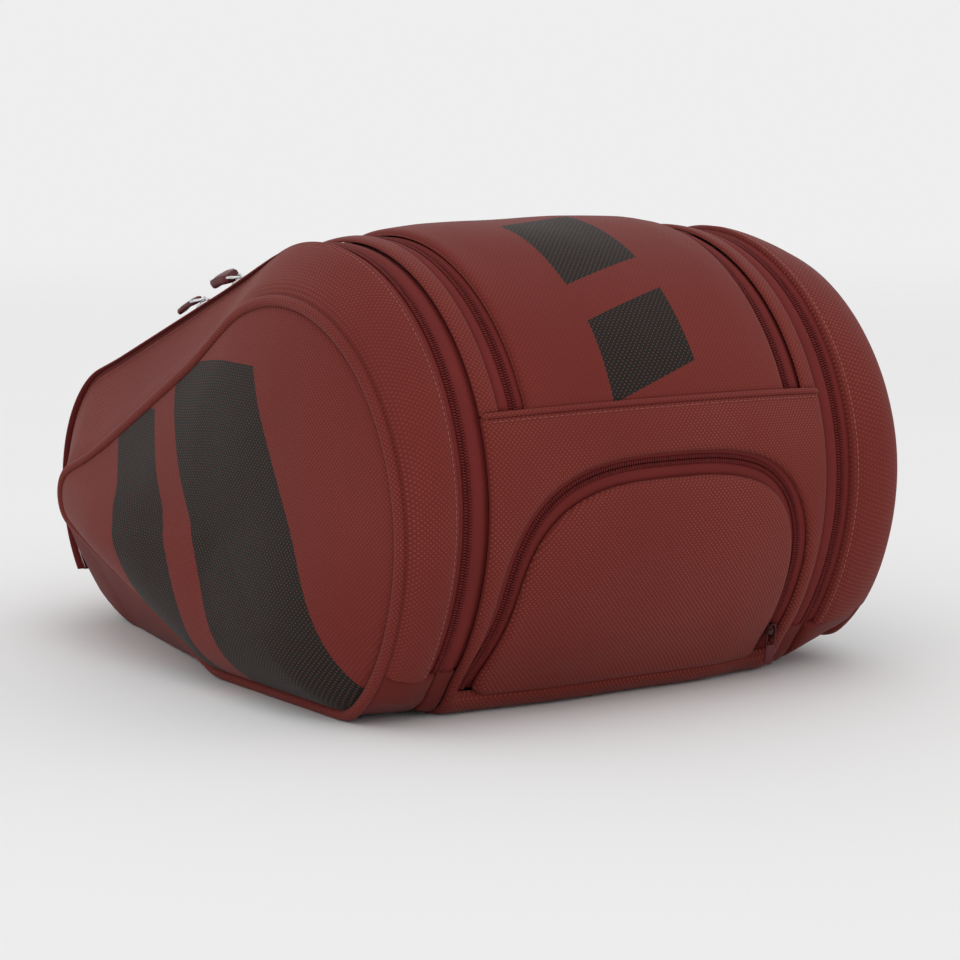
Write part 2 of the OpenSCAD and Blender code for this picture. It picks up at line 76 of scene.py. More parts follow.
class Outline:
    """A large lobe and a small nose joined by tangents and cut by the floor, in the YZ plane."""

    def __init__(self, lobe_c, lobe_r, nose_c, nose_r, floor):
        self.lobe_c, self.nose_c = np.array(lobe_c), np.array(nose_c)
        self.lobe_r, self.nose_r, self.floor = lobe_r, nose_r, floor
        across = self.nose_c - self.lobe_c
        tilt = math.atan2(across[1], across[0])
        splay = math.acos((lobe_r - nose_r) / np.linalg.norm(across))
        self.top_a, self.low_a = tilt + splay, tilt - splay
        self.heel_a = math.pi + math.asin((lobe_c[1] - floor) / lobe_r)
        self.heel = self.lobe_c + lobe_r * unit(self.heel_a)
        self.top_start = self.lobe_c + lobe_r * unit(self.top_a)
        self.top_end = self.nose_c + nose_r * unit(self.top_a)
        self.under_end = self.nose_c + nose_r * unit(self.low_a)
        slope = unit(self.low_a + math.pi / 2)
        self.lift = self.under_end + slope * ((floor - self.under_end[1]) / slope[1])
        legs = [lobe_r * (self.heel_a - self.top_a), np.linalg.norm(self.top_end - self.top_start),
                nose_r * (self.top_a - self.low_a), np.linalg.norm(self.lift - self.under_end),
                np.linalg.norm(self.heel - self.lift)]
        self.t_marks = np.array([0, T_TOP, T_NOSE, T_UNDER, T_FLOOR, 1])
        self.w_marks = np.concatenate([[0], np.cumsum(legs)])

    def at(self, t, out=0.0):
        """The points (y, z) at shares t of the way round, out metres outside, and the outward normals."""
        t = np.asarray(t, float)
        leg = np.clip(np.searchsorted(self.t_marks, t, side="right") - 1, 0, 4)
        q = ((t - self.t_marks[leg]) / np.diff(self.t_marks)[leg])[..., None]
        lobe_n = unit(self.heel_a + (self.top_a - self.heel_a) * q[..., 0])
        nose_n = unit(self.top_a + (self.low_a - self.top_a) * q[..., 0])
        spots = [self.lobe_c + self.lobe_r * lobe_n, self.top_start + (self.top_end - self.top_start) * q,
                 self.nose_c + self.nose_r * nose_n, self.under_end + (self.lift - self.under_end) * q,
                 self.lift + (self.heel - self.lift) * q]
        same = np.ones_like(q)
        normals = [lobe_n, unit(self.top_a) * same, nose_n, unit(self.low_a) * same, np.array([0, -1]) * same]
        spot = np.choose(leg[..., None], spots)
        normal = np.choose(leg[..., None], normals)
        return spot + normal * np.asarray(out, float)[..., None], normal

    def length(self, t):
        """How many metres round from the heel the share t lies."""
        return np.interp(t, self.t_marks, self.w_marks)

    def share(self, w):
        """The share t at which the way round from the heel is w metres long."""
        return np.interp(w, self.w_marks, self.t_marks)

    def near_share(self, z):
        """The share t at height z on the near end."""
        angle = math.pi + np.arcsin((self.lobe_c[1] - np.asarray(z)) / self.lobe_r)
        return T_TOP * (angle - self.heel_a) / (self.top_a - self.heel_a)

    def nose_share(self, z):
        """The share t at height z on the lower part of the nose."""
        angle = math.asin((z - self.nose_c[1]) / self.nose_r)
        return T_NOSE + (T_UNDER - T_NOSE) * (angle - self.top_a) / (self.low_a - self.top_a)


TAPE_OUT = 0.0016
LOBE_Y, LOBE_Z, NOSE_Y = -0.110, 0.143, 0.173
zip_low, zip_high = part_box("left_zip_cover_tape")
LOBE_R = zip_high.z - TAPE_OUT - LOBE_Z
NOSE_R = zip_high.y - TAPE_OUT - NOSE_Y
SEAM = Outline((LOBE_Y, LOBE_Z), LOBE_R, (NOSE_Y, NOSE_R), NOSE_R, 0.0)

pipe_low, pipe_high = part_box("left_piping")
PIPE_R = (pipe_high.x - pipe_low.x) / 2
PIPE_X = -(pipe_high.x + pipe_low.x) / 2
FACE_LOBE_Z, FACE_NOSE_Z, FACE_NOSE_R = 0.126, 0.103, 0.022
FACE_LOBE_R = pipe_high.z - PIPE_R - FACE_LOBE_Z
PIPING = Outline((pipe_low.y + PIPE_R + FACE_LOBE_R, FACE_LOBE_Z), FACE_LOBE_R,
                 (pipe_high.y - PIPE_R - FACE_NOSE_R, FACE_NOSE_Z), FACE_NOSE_R, PIPE_R)

RACKET_X = -zip_high.x - 0.0004                       # centre line of a racket zip
MAIN_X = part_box("flap_zip_tape")[1].x + 0.0004        # and of the main zip's long runs
EDGE_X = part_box("near_end_panel")[1].x                # edge of the panels between the racket zips
ARCH_W, ARCH_TOP, ARCH_SPRING, ARCH_FOOT = 0.125, 0.1665, 0.060, 0.024
ZIP_CORNER = 0.028                                    # radius of the main zip's far corners
SIDES = {"left": -1, "right": 1}
UP = (0.0, 0.0, 1.0)


def near_w(z):
    """How far up the near end a height lies, measured round the seam outline from the heel."""
    return SEAM.length(SEAM.near_share(z))


def far_w(z):
    """How far round the seam outline a height on the lower part of the nose lies."""
    return SEAM.length(SEAM.nose_share(z))


W_ZIP_NEAR, W_ZIP_FAR = float(near_w(zip_low.z)), float(far_w(zip_low.z))
W_HEM, W_FAR_HEM = near_w(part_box("near_end_panel")[0].z), float(far_w(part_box("far_end_panel")[0].z))
W_SEAM = float(near_w(0.203))                         # the seam under the main flap
W_TOP = SEAM.w_marks[1]
W_FLAP_END = W_TOP + 0.268                            # the main zip's far end, on the straight top
W_FLAP_FOOT = W_SEAM + 0.0008


def xyz(x, spot):
    """Points from x and (y, z). One x may serve them all."""
    x = np.asarray(x, float)[..., None]
    return np.concatenate([np.broadcast_to(x, spot.shape[:-1] + (1,)), spot], -1)


def pair(a, b):
    """Two grids as the two coordinates of one, spread over each other."""
    return np.stack(np.broadcast_arrays(a, b), -1)


def crown(x, t):
    """How far the middle section bulges out between the racket zips: less at the hem and towards the nose."""
    x, t = np.asarray(x, float), np.asarray(t, float)
    run = smoothstep(t / SEAM.near_share(0.09)) * (1 - 0.8 * smoothstep((t - T_TOP) / (T_NOSE - T_TOP)))
    return 0.0075 * run * np.clip(1 - (x / EDGE_X) ** 2, 0, 1) ** 0.8


def middle(x, t, out):
    """Points on the middle section, out metres above the crowned seam outline."""
    x, t, out = np.broadcast_arrays(np.asarray(x, float), t, out)
    spot, _ = SEAM.at(t, out + crown(x, t))
    return xyz(x, spot)


# ---------------------------------------------------------------- mesh helpers


def smoothstep(value):
    """0 to 1 as the value goes from 0 to 1, with a soft start and end."""
    value = np.clip(value, 0, 1)
    return value * value * (3 - 2 * value)


SAG_OUT, SAG_DOWN = 0.010, 0.80
RIGHT_IN, RIGHT_OUT, RIGHT_UP = 0.008, 0.006, 0.013
SPLAY = 0.009                                         # outwards, of the left foot of the shoe zip's arch
LEFT_DROP = 0.007                                     # of the left cover's top along the slope


def settle(points):
    """The filled bag's slump: the near end sits lower and further out, and the right side leans outwards."""
    x, y, z = np.asarray(points, float).T
    near = smoothstep((-0.165 - y) / 0.045)
    between = 1 - smoothstep((abs(x) - 0.150) / 0.025)
    belly = near * (1 - 0.65 * smoothstep((abs(x) - 0.060) / 0.060))
    front = smoothstep((-0.04 - y) / 0.08)
    splay = (near * smoothstep((0.085 - z) / 0.065) * smoothstep((-0.03 - x) / 0.095)
             * smoothstep((x + 0.147) / 0.020))
    pinch = smoothstep((x - 0.07) / 0.06) * (1 - smoothstep((x - 0.166) / 0.034)) * front
    lean = smoothstep((x - 0.172) / 0.028) * smoothstep((-0.10 - y) / 0.12)
    lift = smoothstep((x - 0.163) / 0.037) * smoothstep((0.16 - y) / 0.25)
    drop = (smoothstep((-0.160 - x) / 0.045) * smoothstep((y + 0.06) / 0.08)
            * (1 - smoothstep((y - 0.17) / 0.06)) * smoothstep((z - 0.10) / 0.06))
    return np.stack([x - RIGHT_IN * pinch + RIGHT_OUT * lean - SPLAY * splay,
                     y - SAG_OUT * smoothstep(1 - z / 0.085) * belly,
                     np.maximum(z * (1 - SAG_DOWN * smoothstep(1 - z / 0.030) * near * between), 0)
                     + RIGHT_UP * lift - LEFT_DROP * drop], -1)


def make(name, verts, faces, material, uv=None):
    """A mesh object from points and faces, with its cloth coordinates in metres in the UV map."""
    mesh = bpy.data.meshes.new(name)
    mesh.from_pydata([tuple(v) for v in settle(verts).tolist()], [], faces)
    mesh.update()
    if uv is not None:
        layer = mesh.uv_layers.new(name="cloth")
        corners = np.empty(len(mesh.loops), np.int32)
        mesh.loops.foreach_get("vertex_index", corners)
        layer.data.foreach_set("uv", np.asarray(uv, np.float32)[corners].ravel())
    tidy = bmesh.new()
    tidy.from_mesh(mesh)
    bmesh.ops.recalc_face_normals(tidy, faces=tidy.faces)
    tidy.to_mesh(mesh)
    tidy.free()
    mesh.polygons.foreach_set("use_smooth", [True] * len(mesh.polygons))
    mesh.materials.append(material)
    piece = bpy.data.objects.new(name, mesh)
    bpy.context.scene.collection.objects.link(piece)
    return piece


def join(name, *pieces):
    """One mesh object out of several, each with its own material kept."""
    mesh, whole = bpy.data.meshes.new(name), bmesh.new()
    for piece in pieces:
        material = piece.data.materials[0]
        if material.name not in mesh.materials:
            mesh.materials.append(material)
        start = len(whole.faces)
        whole.from_mesh(piece.data)
        whole.faces.ensure_lookup_table()
        slot = mesh.materials.find(material.name)
        for face in whole.faces[start:]:
            face.material_index = slot
        bpy.data.objects.remove(piece)
    whole.to_mesh(mesh)
    whole.free()
    joined = bpy.data.objects.new(name, mesh)
    bpy.context.scene.collection.objects.link(joined)
    return joined


def soften(points, reach, closed=False):
    """Rounds the corners of an evenly spaced line of points; reach is in points."""
    width = int(3 * reach)
    weights = np.exp(-0.5 * (np.arange(-width, width + 1) / reach) ** 2)
    weights /= weights.sum()
    padded = np.pad(points, ((width, width), (0, 0)), mode="wrap" if closed else "reflect", **(
        {} if closed else {"reflect_type": "odd"}))
    return np.stack([np.convolve(padded[:, k], weights, "valid") for k in range(points.shape[1])], -1)


def grid_faces(rows, cols, ring, start=0, flip=False):
    """Quads of a grid of points; ring closes each row on itself."""
    faces = []
    for r in range(rows - 1):
        for c in range(cols if ring else cols - 1):
            a, b = start + r * cols + c, start + r * cols + (c + 1) % cols
            quad = (a, b, b + cols, a + cols)
            faces.append(quad[::-1] if flip else quad)
    return faces


def shell(name, outer, inner, material, uv, ring=False, centre=False):
    """A closed thin solid between two grids of points. centre closes the last row of a disc to a point."""
    rows, cols = outer.shape[:2]
    count = rows * cols
    verts = [outer.reshape(-1, 3), inner.reshape(-1, 3)]
    flat = uv.reshape(-1, 2)
    marks = [flat, flat]
    faces = grid_faces(rows, cols, ring) + grid_faces(rows, cols, ring, count, True)
    across = range(cols if ring else cols - 1)
    for r, turned in ((0, False), (rows - 1, True)):
        if centre and r:
            continue
        for c in across:
            a, b = r * cols + c, r * cols + (c + 1) % cols
            quad = (b, a, a + count, b + count)
            faces.append(quad[::-1] if turned else quad)
    if not ring:
        for r in range(rows - 1):
            for c, turned in ((0, False), (cols - 1, True)):
                a, b = r * cols + c, (r + 1) * cols + c
                quad = (a, b, b + count, a + count)
                faces.append(quad[::-1] if turned else quad)
    if centre:
        for k, (points, turned) in enumerate(((outer, False), (inner, True))):
            hub = 2 * count + k
            verts.append(points[-1].mean(0)[None])
            marks.append(uv[-1].mean(0)[None])
            for c in across:
                a = k * count + (rows - 1) * cols + c
                b = k * count + (rows - 1) * cols + (c + 1) % cols
                faces.append((b, a, hub) if turned else (a, b, hub))
    return make(name, np.concatenate(verts), faces, material, np.concatenate(marks))


def frames_along(path, ups, closed=False):
    """Unit tangents, side vectors and normals at the points of a path, from rough up vectors."""
    if closed:
        along = np.roll(path, -1, 0) - np.roll(path, 1, 0)
    else:
        along = np.gradient(path, axis=0)
    along /= np.linalg.norm(along, axis=1)[:, None]
    side = np.cross(along, ups)
    side /= np.linalg.norm(side, axis=1)[:, None]
    return along, side, np.cross(side, along)


def tube(name, rings, material, uv=None, closed=False):
    """A closed solid through rings of points: round on itself, or with flat ends."""
    n, k = rings.shape[:2]
    last = (n - 1) * k
    faces = grid_faces(n, k, True)
    if closed:
        faces += [(last + c, last + (c + 1) % k, (c + 1) % k, c) for c in range(k)]
    else:
        faces += [tuple(range(k - 1, -1, -1)), tuple(range(last, n * k))]
    return make(name, rings.reshape(-1, 3), faces, material, uv)


def lengths_along(path):
    """How far along a path each of its points lies."""
    return np.concatenate([[0], np.cumsum(np.linalg.norm(np.diff(path, axis=0), axis=1))])


def at_height(line, z):
    """Points from (x, y), or from (side, along), all at one height."""
    return np.concatenate([line, np.full((len(line), 1), z)], -1)


def sweep(name, path, ups, section, material, closed=False):
    """A section (side, up) swept along a path, as a closed solid."""
    _, side, up = frames_along(path, ups, closed)
    section = np.asarray(section, float)
    rings = (path[:, None] + section[None, :, 0, None] * side[:, None]
             + section[None, :, 1, None] * up[:, None])
    gone, around = lengths_along(path), lengths_along(section)
    return tube(name, rings, material, pair(around[None], gone[:, None]).reshape(-1, 2), closed)


def rounded_loop(count, half_x, half_y, bend_x, bend_y):
    """A closed loop that is round with both bends at 1, and squarer the smaller they are."""
    a = np.linspace(0, 2 * math.pi, count, endpoint=False)
    c, s = np.cos(a), np.sin(a)
    return np.stack([half_x * np.sign(c) * abs(c) ** bend_x, half_y * np.sign(s) * abs(s) ** bend_y], -1)


def round_section(width, height, sides=10, power=2.0):
    """A closed rounded section, width wide and height high, centred on the path."""
    return rounded_loop(sides, width / 2, height / 2, 2 / power, 2 / power)


def resample(path, ups, step):
    """Points and up vectors at an even step along a path."""
    gone = lengths_along(path)
    count = max(2, int(round(gone[-1] / step)))
    marks = np.linspace(0, gone[-1], count + 1)
    return tuple(np.stack([np.interp(marks, gone, a[:, k]) for k in range(3)], -1) for a in (path, ups))


def copies(name, shape, faces, path, ups, material, up_shift=0.0):
    """One small shape (side, along, up) repeated at each point of a path, in one mesh."""
    along, side, up = frames_along(path, ups)
    shape = np.asarray(shape, float)
    spots = (path[:, None] + shape[:, 0, None] * side[:, None]
             + shape[:, 1, None] * along[:, None] + (shape[:, 2, None] + up_shift) * up[:, None])
    size = len(shape)
    all_faces = [tuple(i * size + v for v in f) for i in range(len(path)) for f in faces]
    return make(name, spots.reshape(-1, 3), all_faces, material)


def capsule(width, length, height, rings=5, sides=6):
    """A grain: one stitch, or one tooth of a coil."""
    verts = [(0, -length / 2, 0)]
    for r in range(1, rings):
        a = math.pi * r / rings
        for k in range(sides):
            b = 2 * math.pi * k / sides
            verts.append((width / 2 * math.sin(a) ** 0.6 * math.cos(b), -length / 2 * math.cos(a),
                          height / 2 * math.sin(a) ** 0.6 * math.sin(b)))
    verts.append((0, length / 2, 0))
    last = len(verts) - 1
    faces = [(0, 1 + (k + 1) % sides, 1 + k) for k in range(sides)]
    for r in range(rings - 2):
        for k in range(sides):
            a, b = 1 + r * sides + k, 1 + r * sides + (k + 1) % sides
            faces.append((a, b, b + sides, a + sides))
    faces += [(last, last - sides + k, last - sides + (k + 1) % sides) for k in range(sides)]
    return verts, faces


STITCH_LIFT = 0.0002


def stitches(name, path, ups, material, step=0.0042, width=0.0007):
    """A row of stitches that stand a little off the cloth."""
    points, tops = resample(path, ups, step)
    points, tops = (points[1:] + points[:-1]) / 2, (tops[1:] + tops[:-1]) / 2
    return copies(name, *capsule(width, step * 0.72, width), points, tops, material, STITCH_LIFT)


def ripple(points, size, depth, seed=0.0):
    """Soft uneven swelling of cloth: a value in metres for each point."""
    flat = points.reshape(-1, 3)
    shift = Vector((seed, 2 * seed, 3 * seed))
    values = [noise.noise(Vector(p) / size + shift) for p in flat]
    return depth * np.array(values).reshape(points.shape[:-1])


def puff(distance, radius):
    """The share of its full thickness that a rolled edge has at a distance from its rim."""
    near = 1 - np.clip(distance / radius, 0, 1)
    return np.sqrt(np.clip(1 - near * near, 0, 1))


def place(piece, body, node=None):
    """Rides the piece on a body, and hides the CAD node or nodes that it stands for."""
    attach(piece, body)
    for one in [node] if isinstance(node, str) else node or []:
        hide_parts(one)
    return piece


# ---------------------------------------------------------------- materials


class Paint:
    """A node material as it is put together. Inputs are numbers, colours or other nodes' sockets."""

    def __init__(self, name, roughness=0.7, metallic=0.0, sheen=0.0, specular=0.3):
        self.material = bpy.data.materials.new(name)
        self.material.use_nodes = True
        self.tree = self.material.node_tree
        self.shader = self.tree.nodes["Principled BSDF"]
        for key, value in (("Roughness", roughness), ("Metallic", metallic), ("Specular IOR Level", specular),
                           ("Sheen Weight", sheen), ("Sheen Roughness", 0.45)):
            self.shader.inputs[key].default_value = value

    def node(self, kind, *values, out=0, named=None, **settings):
        """The output of a new node: values fill its inputs in order, and named fills others by name."""
        made = self.tree.nodes.new("ShaderNode" + kind)
        for key, value in settings.items():
            setattr(made, key, value)
        for socket, value in zip(made.inputs, values):
            self.put(socket, value)
        for key, value in (named or {}).items():
            self.put(made.inputs[key], value)
        return made.outputs[out]

    def put(self, socket, value):
        if value is None:
            return
        if isinstance(value, bpy.types.NodeSocket):
            self.tree.links.new(value, socket)
        elif isinstance(value, tuple) and len(value) == 3 and socket.type == "RGBA":
            socket.default_value = (*value, 1)
        else:
            socket.default_value = value

    def calc(self, operation, *values, clamp=False):
        return self.node("Math", *values, operation=operation, use_clamp=clamp)

    def mix(self, share, a, b):
        return self.node("Mix", out="Result", data_type="RGBA", named={"Factor": share, "A": a, "B": b})

    def cloth(self):
        """The cloth coordinates, in metres."""
        return self.node("UVMap", uv_map="cloth")

    def spot(self):
        """The object coordinates, in metres."""
        return self.node("TexCoord", out=3)

    def noise(self, scale, detail=3.0):
        named = {"Vector": self.spot(), "Scale": scale, "Detail": detail}
        return self.node("TexNoise", out="Fac", named=named)

    def smooth(self, value, low, high):
        return self.node("MapRange", value, low, high, 0.0, 1.0, interpolation_type="SMOOTHSTEP")

    def waves(self, pitch, angle=0.0):
        """Even ridges across the cloth, pitch metres apart, from -1 to 1."""
        mapped = self.node("Mapping", self.cloth(), (0, 0, 0), (0, 0, angle), (1 / pitch,) * 3)
        across = self.node("SeparateXYZ", mapped)
        return self.calc("SINE", self.calc("MULTIPLY", across, 2 * math.pi))

    def weave(self, pitch):
        """Threads that cross, pitch metres apart."""
        return self.calc("MULTIPLY", self.waves(pitch), self.waves(pitch, math.pi / 2))

    def grid(self, pitch, low, high):
        """A staggered grid of round spots, 1 in the middle of a spot."""
        scale = math.sqrt(2) / pitch
        mapped = self.node("Mapping", self.cloth(), (0, 0, 0), (0, 0, math.pi / 4), (scale,) * 3)
        cell = self.node("VectorMath", mapped, operation="FRACTION")
        off = self.node("VectorMath", cell, (0.5, 0.5, 0), operation="SUBTRACT")
        return self.smooth(self.node("VectorMath", off, operation="LENGTH", out=1), high, low)

    def bump(self, height, distance, strength=1.0, under=None):
        """The normal bent by a height. under is a normal that was bent before."""
        return self.node("Bump", named={"Strength": strength, "Distance": distance, "Height": height,
                                        "Normal": under})

    def finish(self, colour, normal=None, roughness=None):
        self.put(self.shader.inputs["Base Color"], colour)
        self.put(self.shader.inputs["Normal"], normal)
        self.put(self.shader.inputs["Roughness"], roughness)
        return self.material


MAROON = (0.180, 0.0250, 0.0190)
MAROON_DEEP = (0.136, 0.0160, 0.0125)
MAROON_DOT = (0.31, 0.090, 0.064)
TAPE_RED = (0.168, 0.0215, 0.0190)
PRINT_BLACK = (0.0125, 0.0120, 0.0105)
PRINT_DOT = (0.15, 0.052, 0.038)


def slanted(paint, along, low, high, side, side_low, side_high):
    """1 inside a band across the cloth: low to high along one direction, side_low to side_high across it."""
    inside = [paint.calc("GREATER_THAN", along, low), paint.calc("LESS_THAN", along, high),
              paint.calc("GREATER_THAN", side, side_low), paint.calc("LESS_THAN", side, side_high)]
    return reduce(lambda a, b: paint.calc("MULTIPLY", a, b), inside)


def face_print(paint, u, v):
    """Two plain slanted bands of unequal width on a side face, in y and z."""
    across = paint.calc("SUBTRACT", paint.calc("MULTIPLY", u, 0.86), paint.calc("MULTIPLY", v, 0.51))
    wide = slanted(paint, across, -0.202, -0.082, v, 0.0, 0.228)
    thin = slanted(paint, across, -0.048, 0.018, v, 0.0, 0.190)
    return paint.calc("MAXIMUM", wide, thin)


def top_print(paint, u, v):
    """A row of plain slanted bars along the flap, in x and metres from the seam."""
    along = paint.calc("ADD", v, paint.calc("MULTIPLY", u, -0.32))
    bars = [slanted(paint, along, start, start + length, u, -0.044, 0.030)
            for start, length in ((0.014, 0.056), (0.100, 0.080), (0.210, 0.056), (0.296, 0.080))]
    return reduce(lambda a, b: paint.calc("MAXIMUM", a, b), bars)


def shell_cloth(name, dots=1.0, printed=None, base=MAROON):
    """Coated cloth with a grid of raised dots, and a print in places."""
    paint = Paint(name, 0.68, specular=0.12, sheen=0.055)
    split = paint.node("SeparateXYZ", paint.cloth()).node
    u, v = split.outputs[0], split.outputs[1]
    spots = paint.grid(0.0033, 0.14, 0.32)
    patchy = paint.smooth(paint.noise(9.0, 2.0), 0.30, 0.72)
    red = paint.mix(paint.noise(5.0), MAROON_DEEP if base is MAROON else base, base)
    red = paint.mix(paint.calc("MULTIPLY", paint.noise(900.0, 2.0), 0.35), red, *shades(base, 0.72))
    shown = paint.calc("MULTIPLY", spots, paint.calc("MULTIPLY_ADD", patchy, 0.45 * dots, 0.25 * dots))
    colour = paint.mix(shown, red, MAROON_DOT)
    if printed:
        holes = paint.calc("MULTIPLY", paint.grid(0.0038, 0.13, 0.26), 0.75)
        colour = paint.mix(printed(paint, u, v), colour, paint.mix(holes, PRINT_BLACK, PRINT_DOT))
    normal = paint.bump(paint.weave(0.0009), 0.00006, 0.5)
    normal = paint.bump(paint.noise(60.0), 0.0006, 0.35, normal)
    normal = paint.bump(spots, 0.00030, 0.55 * dots, normal)
    return paint.finish(colour, normal)


def shades(colour, *factors):
    """A colour made darker or lighter by each factor."""
    return [tuple(factor * c for c in colour) for factor in factors]


def plain_cloth(name, colour):
    """A closely woven tape or binding."""
    paint = Paint(name, 0.7, specular=0.12)
    dark, low, high = shades(colour, 0.6, 0.74, 1.12)
    tone = paint.mix(paint.noise(14.0), low, high)
    tone = paint.mix(paint.calc("MULTIPLY", paint.noise(1400.0, 2.0), 0.3), tone, dark)
    normal = paint.bump(paint.waves(0.0007, math.pi / 4), 0.00005, 0.6)
    return paint.finish(tone, paint.bump(paint.noise(90.0), 0.0004, 0.3, normal))


def nylon(name, colour, roughness=0.42, specular=0.25):
    """Moulded coils, thread and hard plastic."""
    paint = Paint(name, roughness, specular=specular)
    tone = paint.mix(paint.noise(160.0), *shades(colour, 0.75, 1.2))
    return paint.finish(tone, paint.bump(paint.noise(700.0), 0.00004, 0.5))


def zinc(name):
    """Plated die-cast zinc, a little dulled where it is handled."""
    paint = Paint(name, 0.24, metallic=1.0)
    wear = paint.smooth(paint.noise(220.0, 4.0), 0.35, 0.7)
    tone = paint.mix(wear, (0.80, 0.80, 0.81), (0.60, 0.60, 0.62))
    rough = paint.calc("MULTIPLY_ADD", wear, 0.18, 0.18)
    return paint.finish(tone, paint.bump(paint.noise(900.0), 0.00003, 0.4), rough)


def leather(name):
    """The stiff grained tabs of the racket zips."""
    paint = Paint(name, 0.48, specular=0.28)
    cells = paint.node("TexVoronoi", paint.spot(), None, 1500.0, out=0)
    tone = paint.mix(paint.noise(70.0), (0.075, 0.012, 0.015), (0.135, 0.024, 0.028))
    return paint.finish(tone, paint.bump(cells, 0.00012, 0.6))


def mesh_with_shaded_holes(name, colour=(0.016, 0.016, 0.017)):
    """Open padded mesh: small holes in a staggered grid, each hole painted near black as painted shade in the
    recess.
    """
    paint = Paint(name, 0.85, sheen=0.25, specular=0.2)
    holes = paint.grid(0.0042, 0.20, 0.36)
    # holes take a quarter of the colour and the yarn 2.6 times it: the dark holes are painted shade
    tone = paint.mix(holes, *shades(colour, 2.6, 0.25))
    tone = paint.mix(paint.calc("MULTIPLY", paint.noise(12.0), 0.4), tone, colour)
    return paint.finish(tone, paint.bump(paint.calc("SUBTRACT", 1.0, holes), 0.0009, 0.8))


def foil_cloth(name):
    """Silvery insulating lining, quilted and a little creased."""
    paint = Paint(name, 0.38, metallic=0.45, specular=0.5)
    tone = paint.mix(paint.noise(30.0), (0.42, 0.42, 0.44), (0.60, 0.60, 0.62))
    normal = paint.bump(paint.noise(45.0, 4.0), 0.0016, 0.6)
    return paint.finish(tone, paint.bump(paint.waves(0.0011, math.pi / 4), 0.00008, 0.5, normal))


def lining_cloth(name):
    """Thin dark grey lining, a little creased."""
    paint = Paint(name, 0.66, sheen=0.2, specular=0.25)
    tone = paint.mix(paint.noise(18.0), *shades((0.030, 0.030, 0.033), 0.7, 1.4))
    normal = paint.bump(paint.noise(35.0, 4.0), 0.0014, 0.5)
    return paint.finish(tone, paint.bump(paint.weave(0.0008), 0.00008, 0.5, normal))


def webbing_with_shaded_ribs(name):
    """Black webbing with ribs across it, each rib's crest painted lighter and its groove darker as painted
    highlight and painted shade.
    """
    paint = Paint(name, 0.62, sheen=0.2, specular=0.3)
    ribs = paint.waves(0.0021, math.pi / 2)
    # colour follows the rib height: lighter crests are painted highlight, darker grooves painted shade
    tone = paint.mix(paint.calc("MULTIPLY_ADD", ribs, 0.5, 0.5), *shades((0.017, 0.017, 0.018), 0.6, 1.7))
    normal = paint.bump(ribs, 0.0003, 0.7)
    return paint.finish(tone, paint.bump(paint.waves(0.0009, 0.0), 0.00012, 0.6, normal))


def board(name):
    """The stiffener: black hollow board with fine flutes."""
    paint = Paint(name, 0.5, specular=0.4)
    flutes = paint.calc("SINE", paint.calc("MULTIPLY", paint.node("SeparateXYZ", paint.spot()), 2400.0))
    tone = paint.mix(paint.noise(25.0), (0.016, 0.016, 0.017), (0.034, 0.034, 0.036))
    return paint.finish(tone, paint.bump(flutes, 0.0003, 0.5))


M = {
    "shell": shell_cloth("maroon_shell_cloth"),
    "soft_shell": shell_cloth("maroon_gusset_cloth", 0.8),
    "face": shell_cloth("maroon_face_cloth", 0.55, face_print),
    "flap": shell_cloth("maroon_flap_cloth", 0.45, top_print),
    # foot: the shell cloth in a darker copy with fainter dots, painted shade for the parts down by the floor
    # (foot panels, base hem, zip end tabs)
    "foot": shell_cloth("maroon_foot_cloth_painted_shade", 0.25, base=(0.130, 0.0165, 0.0130)),
    "tape": plain_cloth("zip_tape_red", TAPE_RED),
    "piping": shell_cloth("piping_cloth", 0.9),
    "coil": nylon("coil_nylon", (0.135, 0.0165, 0.0150), 0.55, 0.12),
    "thread": nylon("maroon_thread", (0.30, 0.085, 0.070), 0.6),
    "dark_thread": nylon("black_thread", (0.03, 0.03, 0.03), 0.6),
    "metal": zinc("plated_zinc"),
    "painted_metal": nylon("painted_slider", (0.060, 0.010, 0.011), 0.32),
    "tab": leather("grained_tab"),
    # the back padding and the net pocket both get painted shade in their holes
    "mesh": mesh_with_shaded_holes("black_spacer_mesh"),
    "net": mesh_with_shaded_holes("pocket_net", (0.020, 0.020, 0.021)),
    "foil": foil_cloth("thermal_foil_cloth"),
    "lining": lining_cloth("grey_lining_cloth"),
    "webbing": webbing_with_shaded_ribs("ribbed_black_webbing_shaded_ribs"),
    "plastic": nylon("black_acetal", (0.018, 0.018, 0.019), 0.38),
    "board": board("stiffener_board"),
}


# ---------------------------------------------------------------- camera, lights and floor


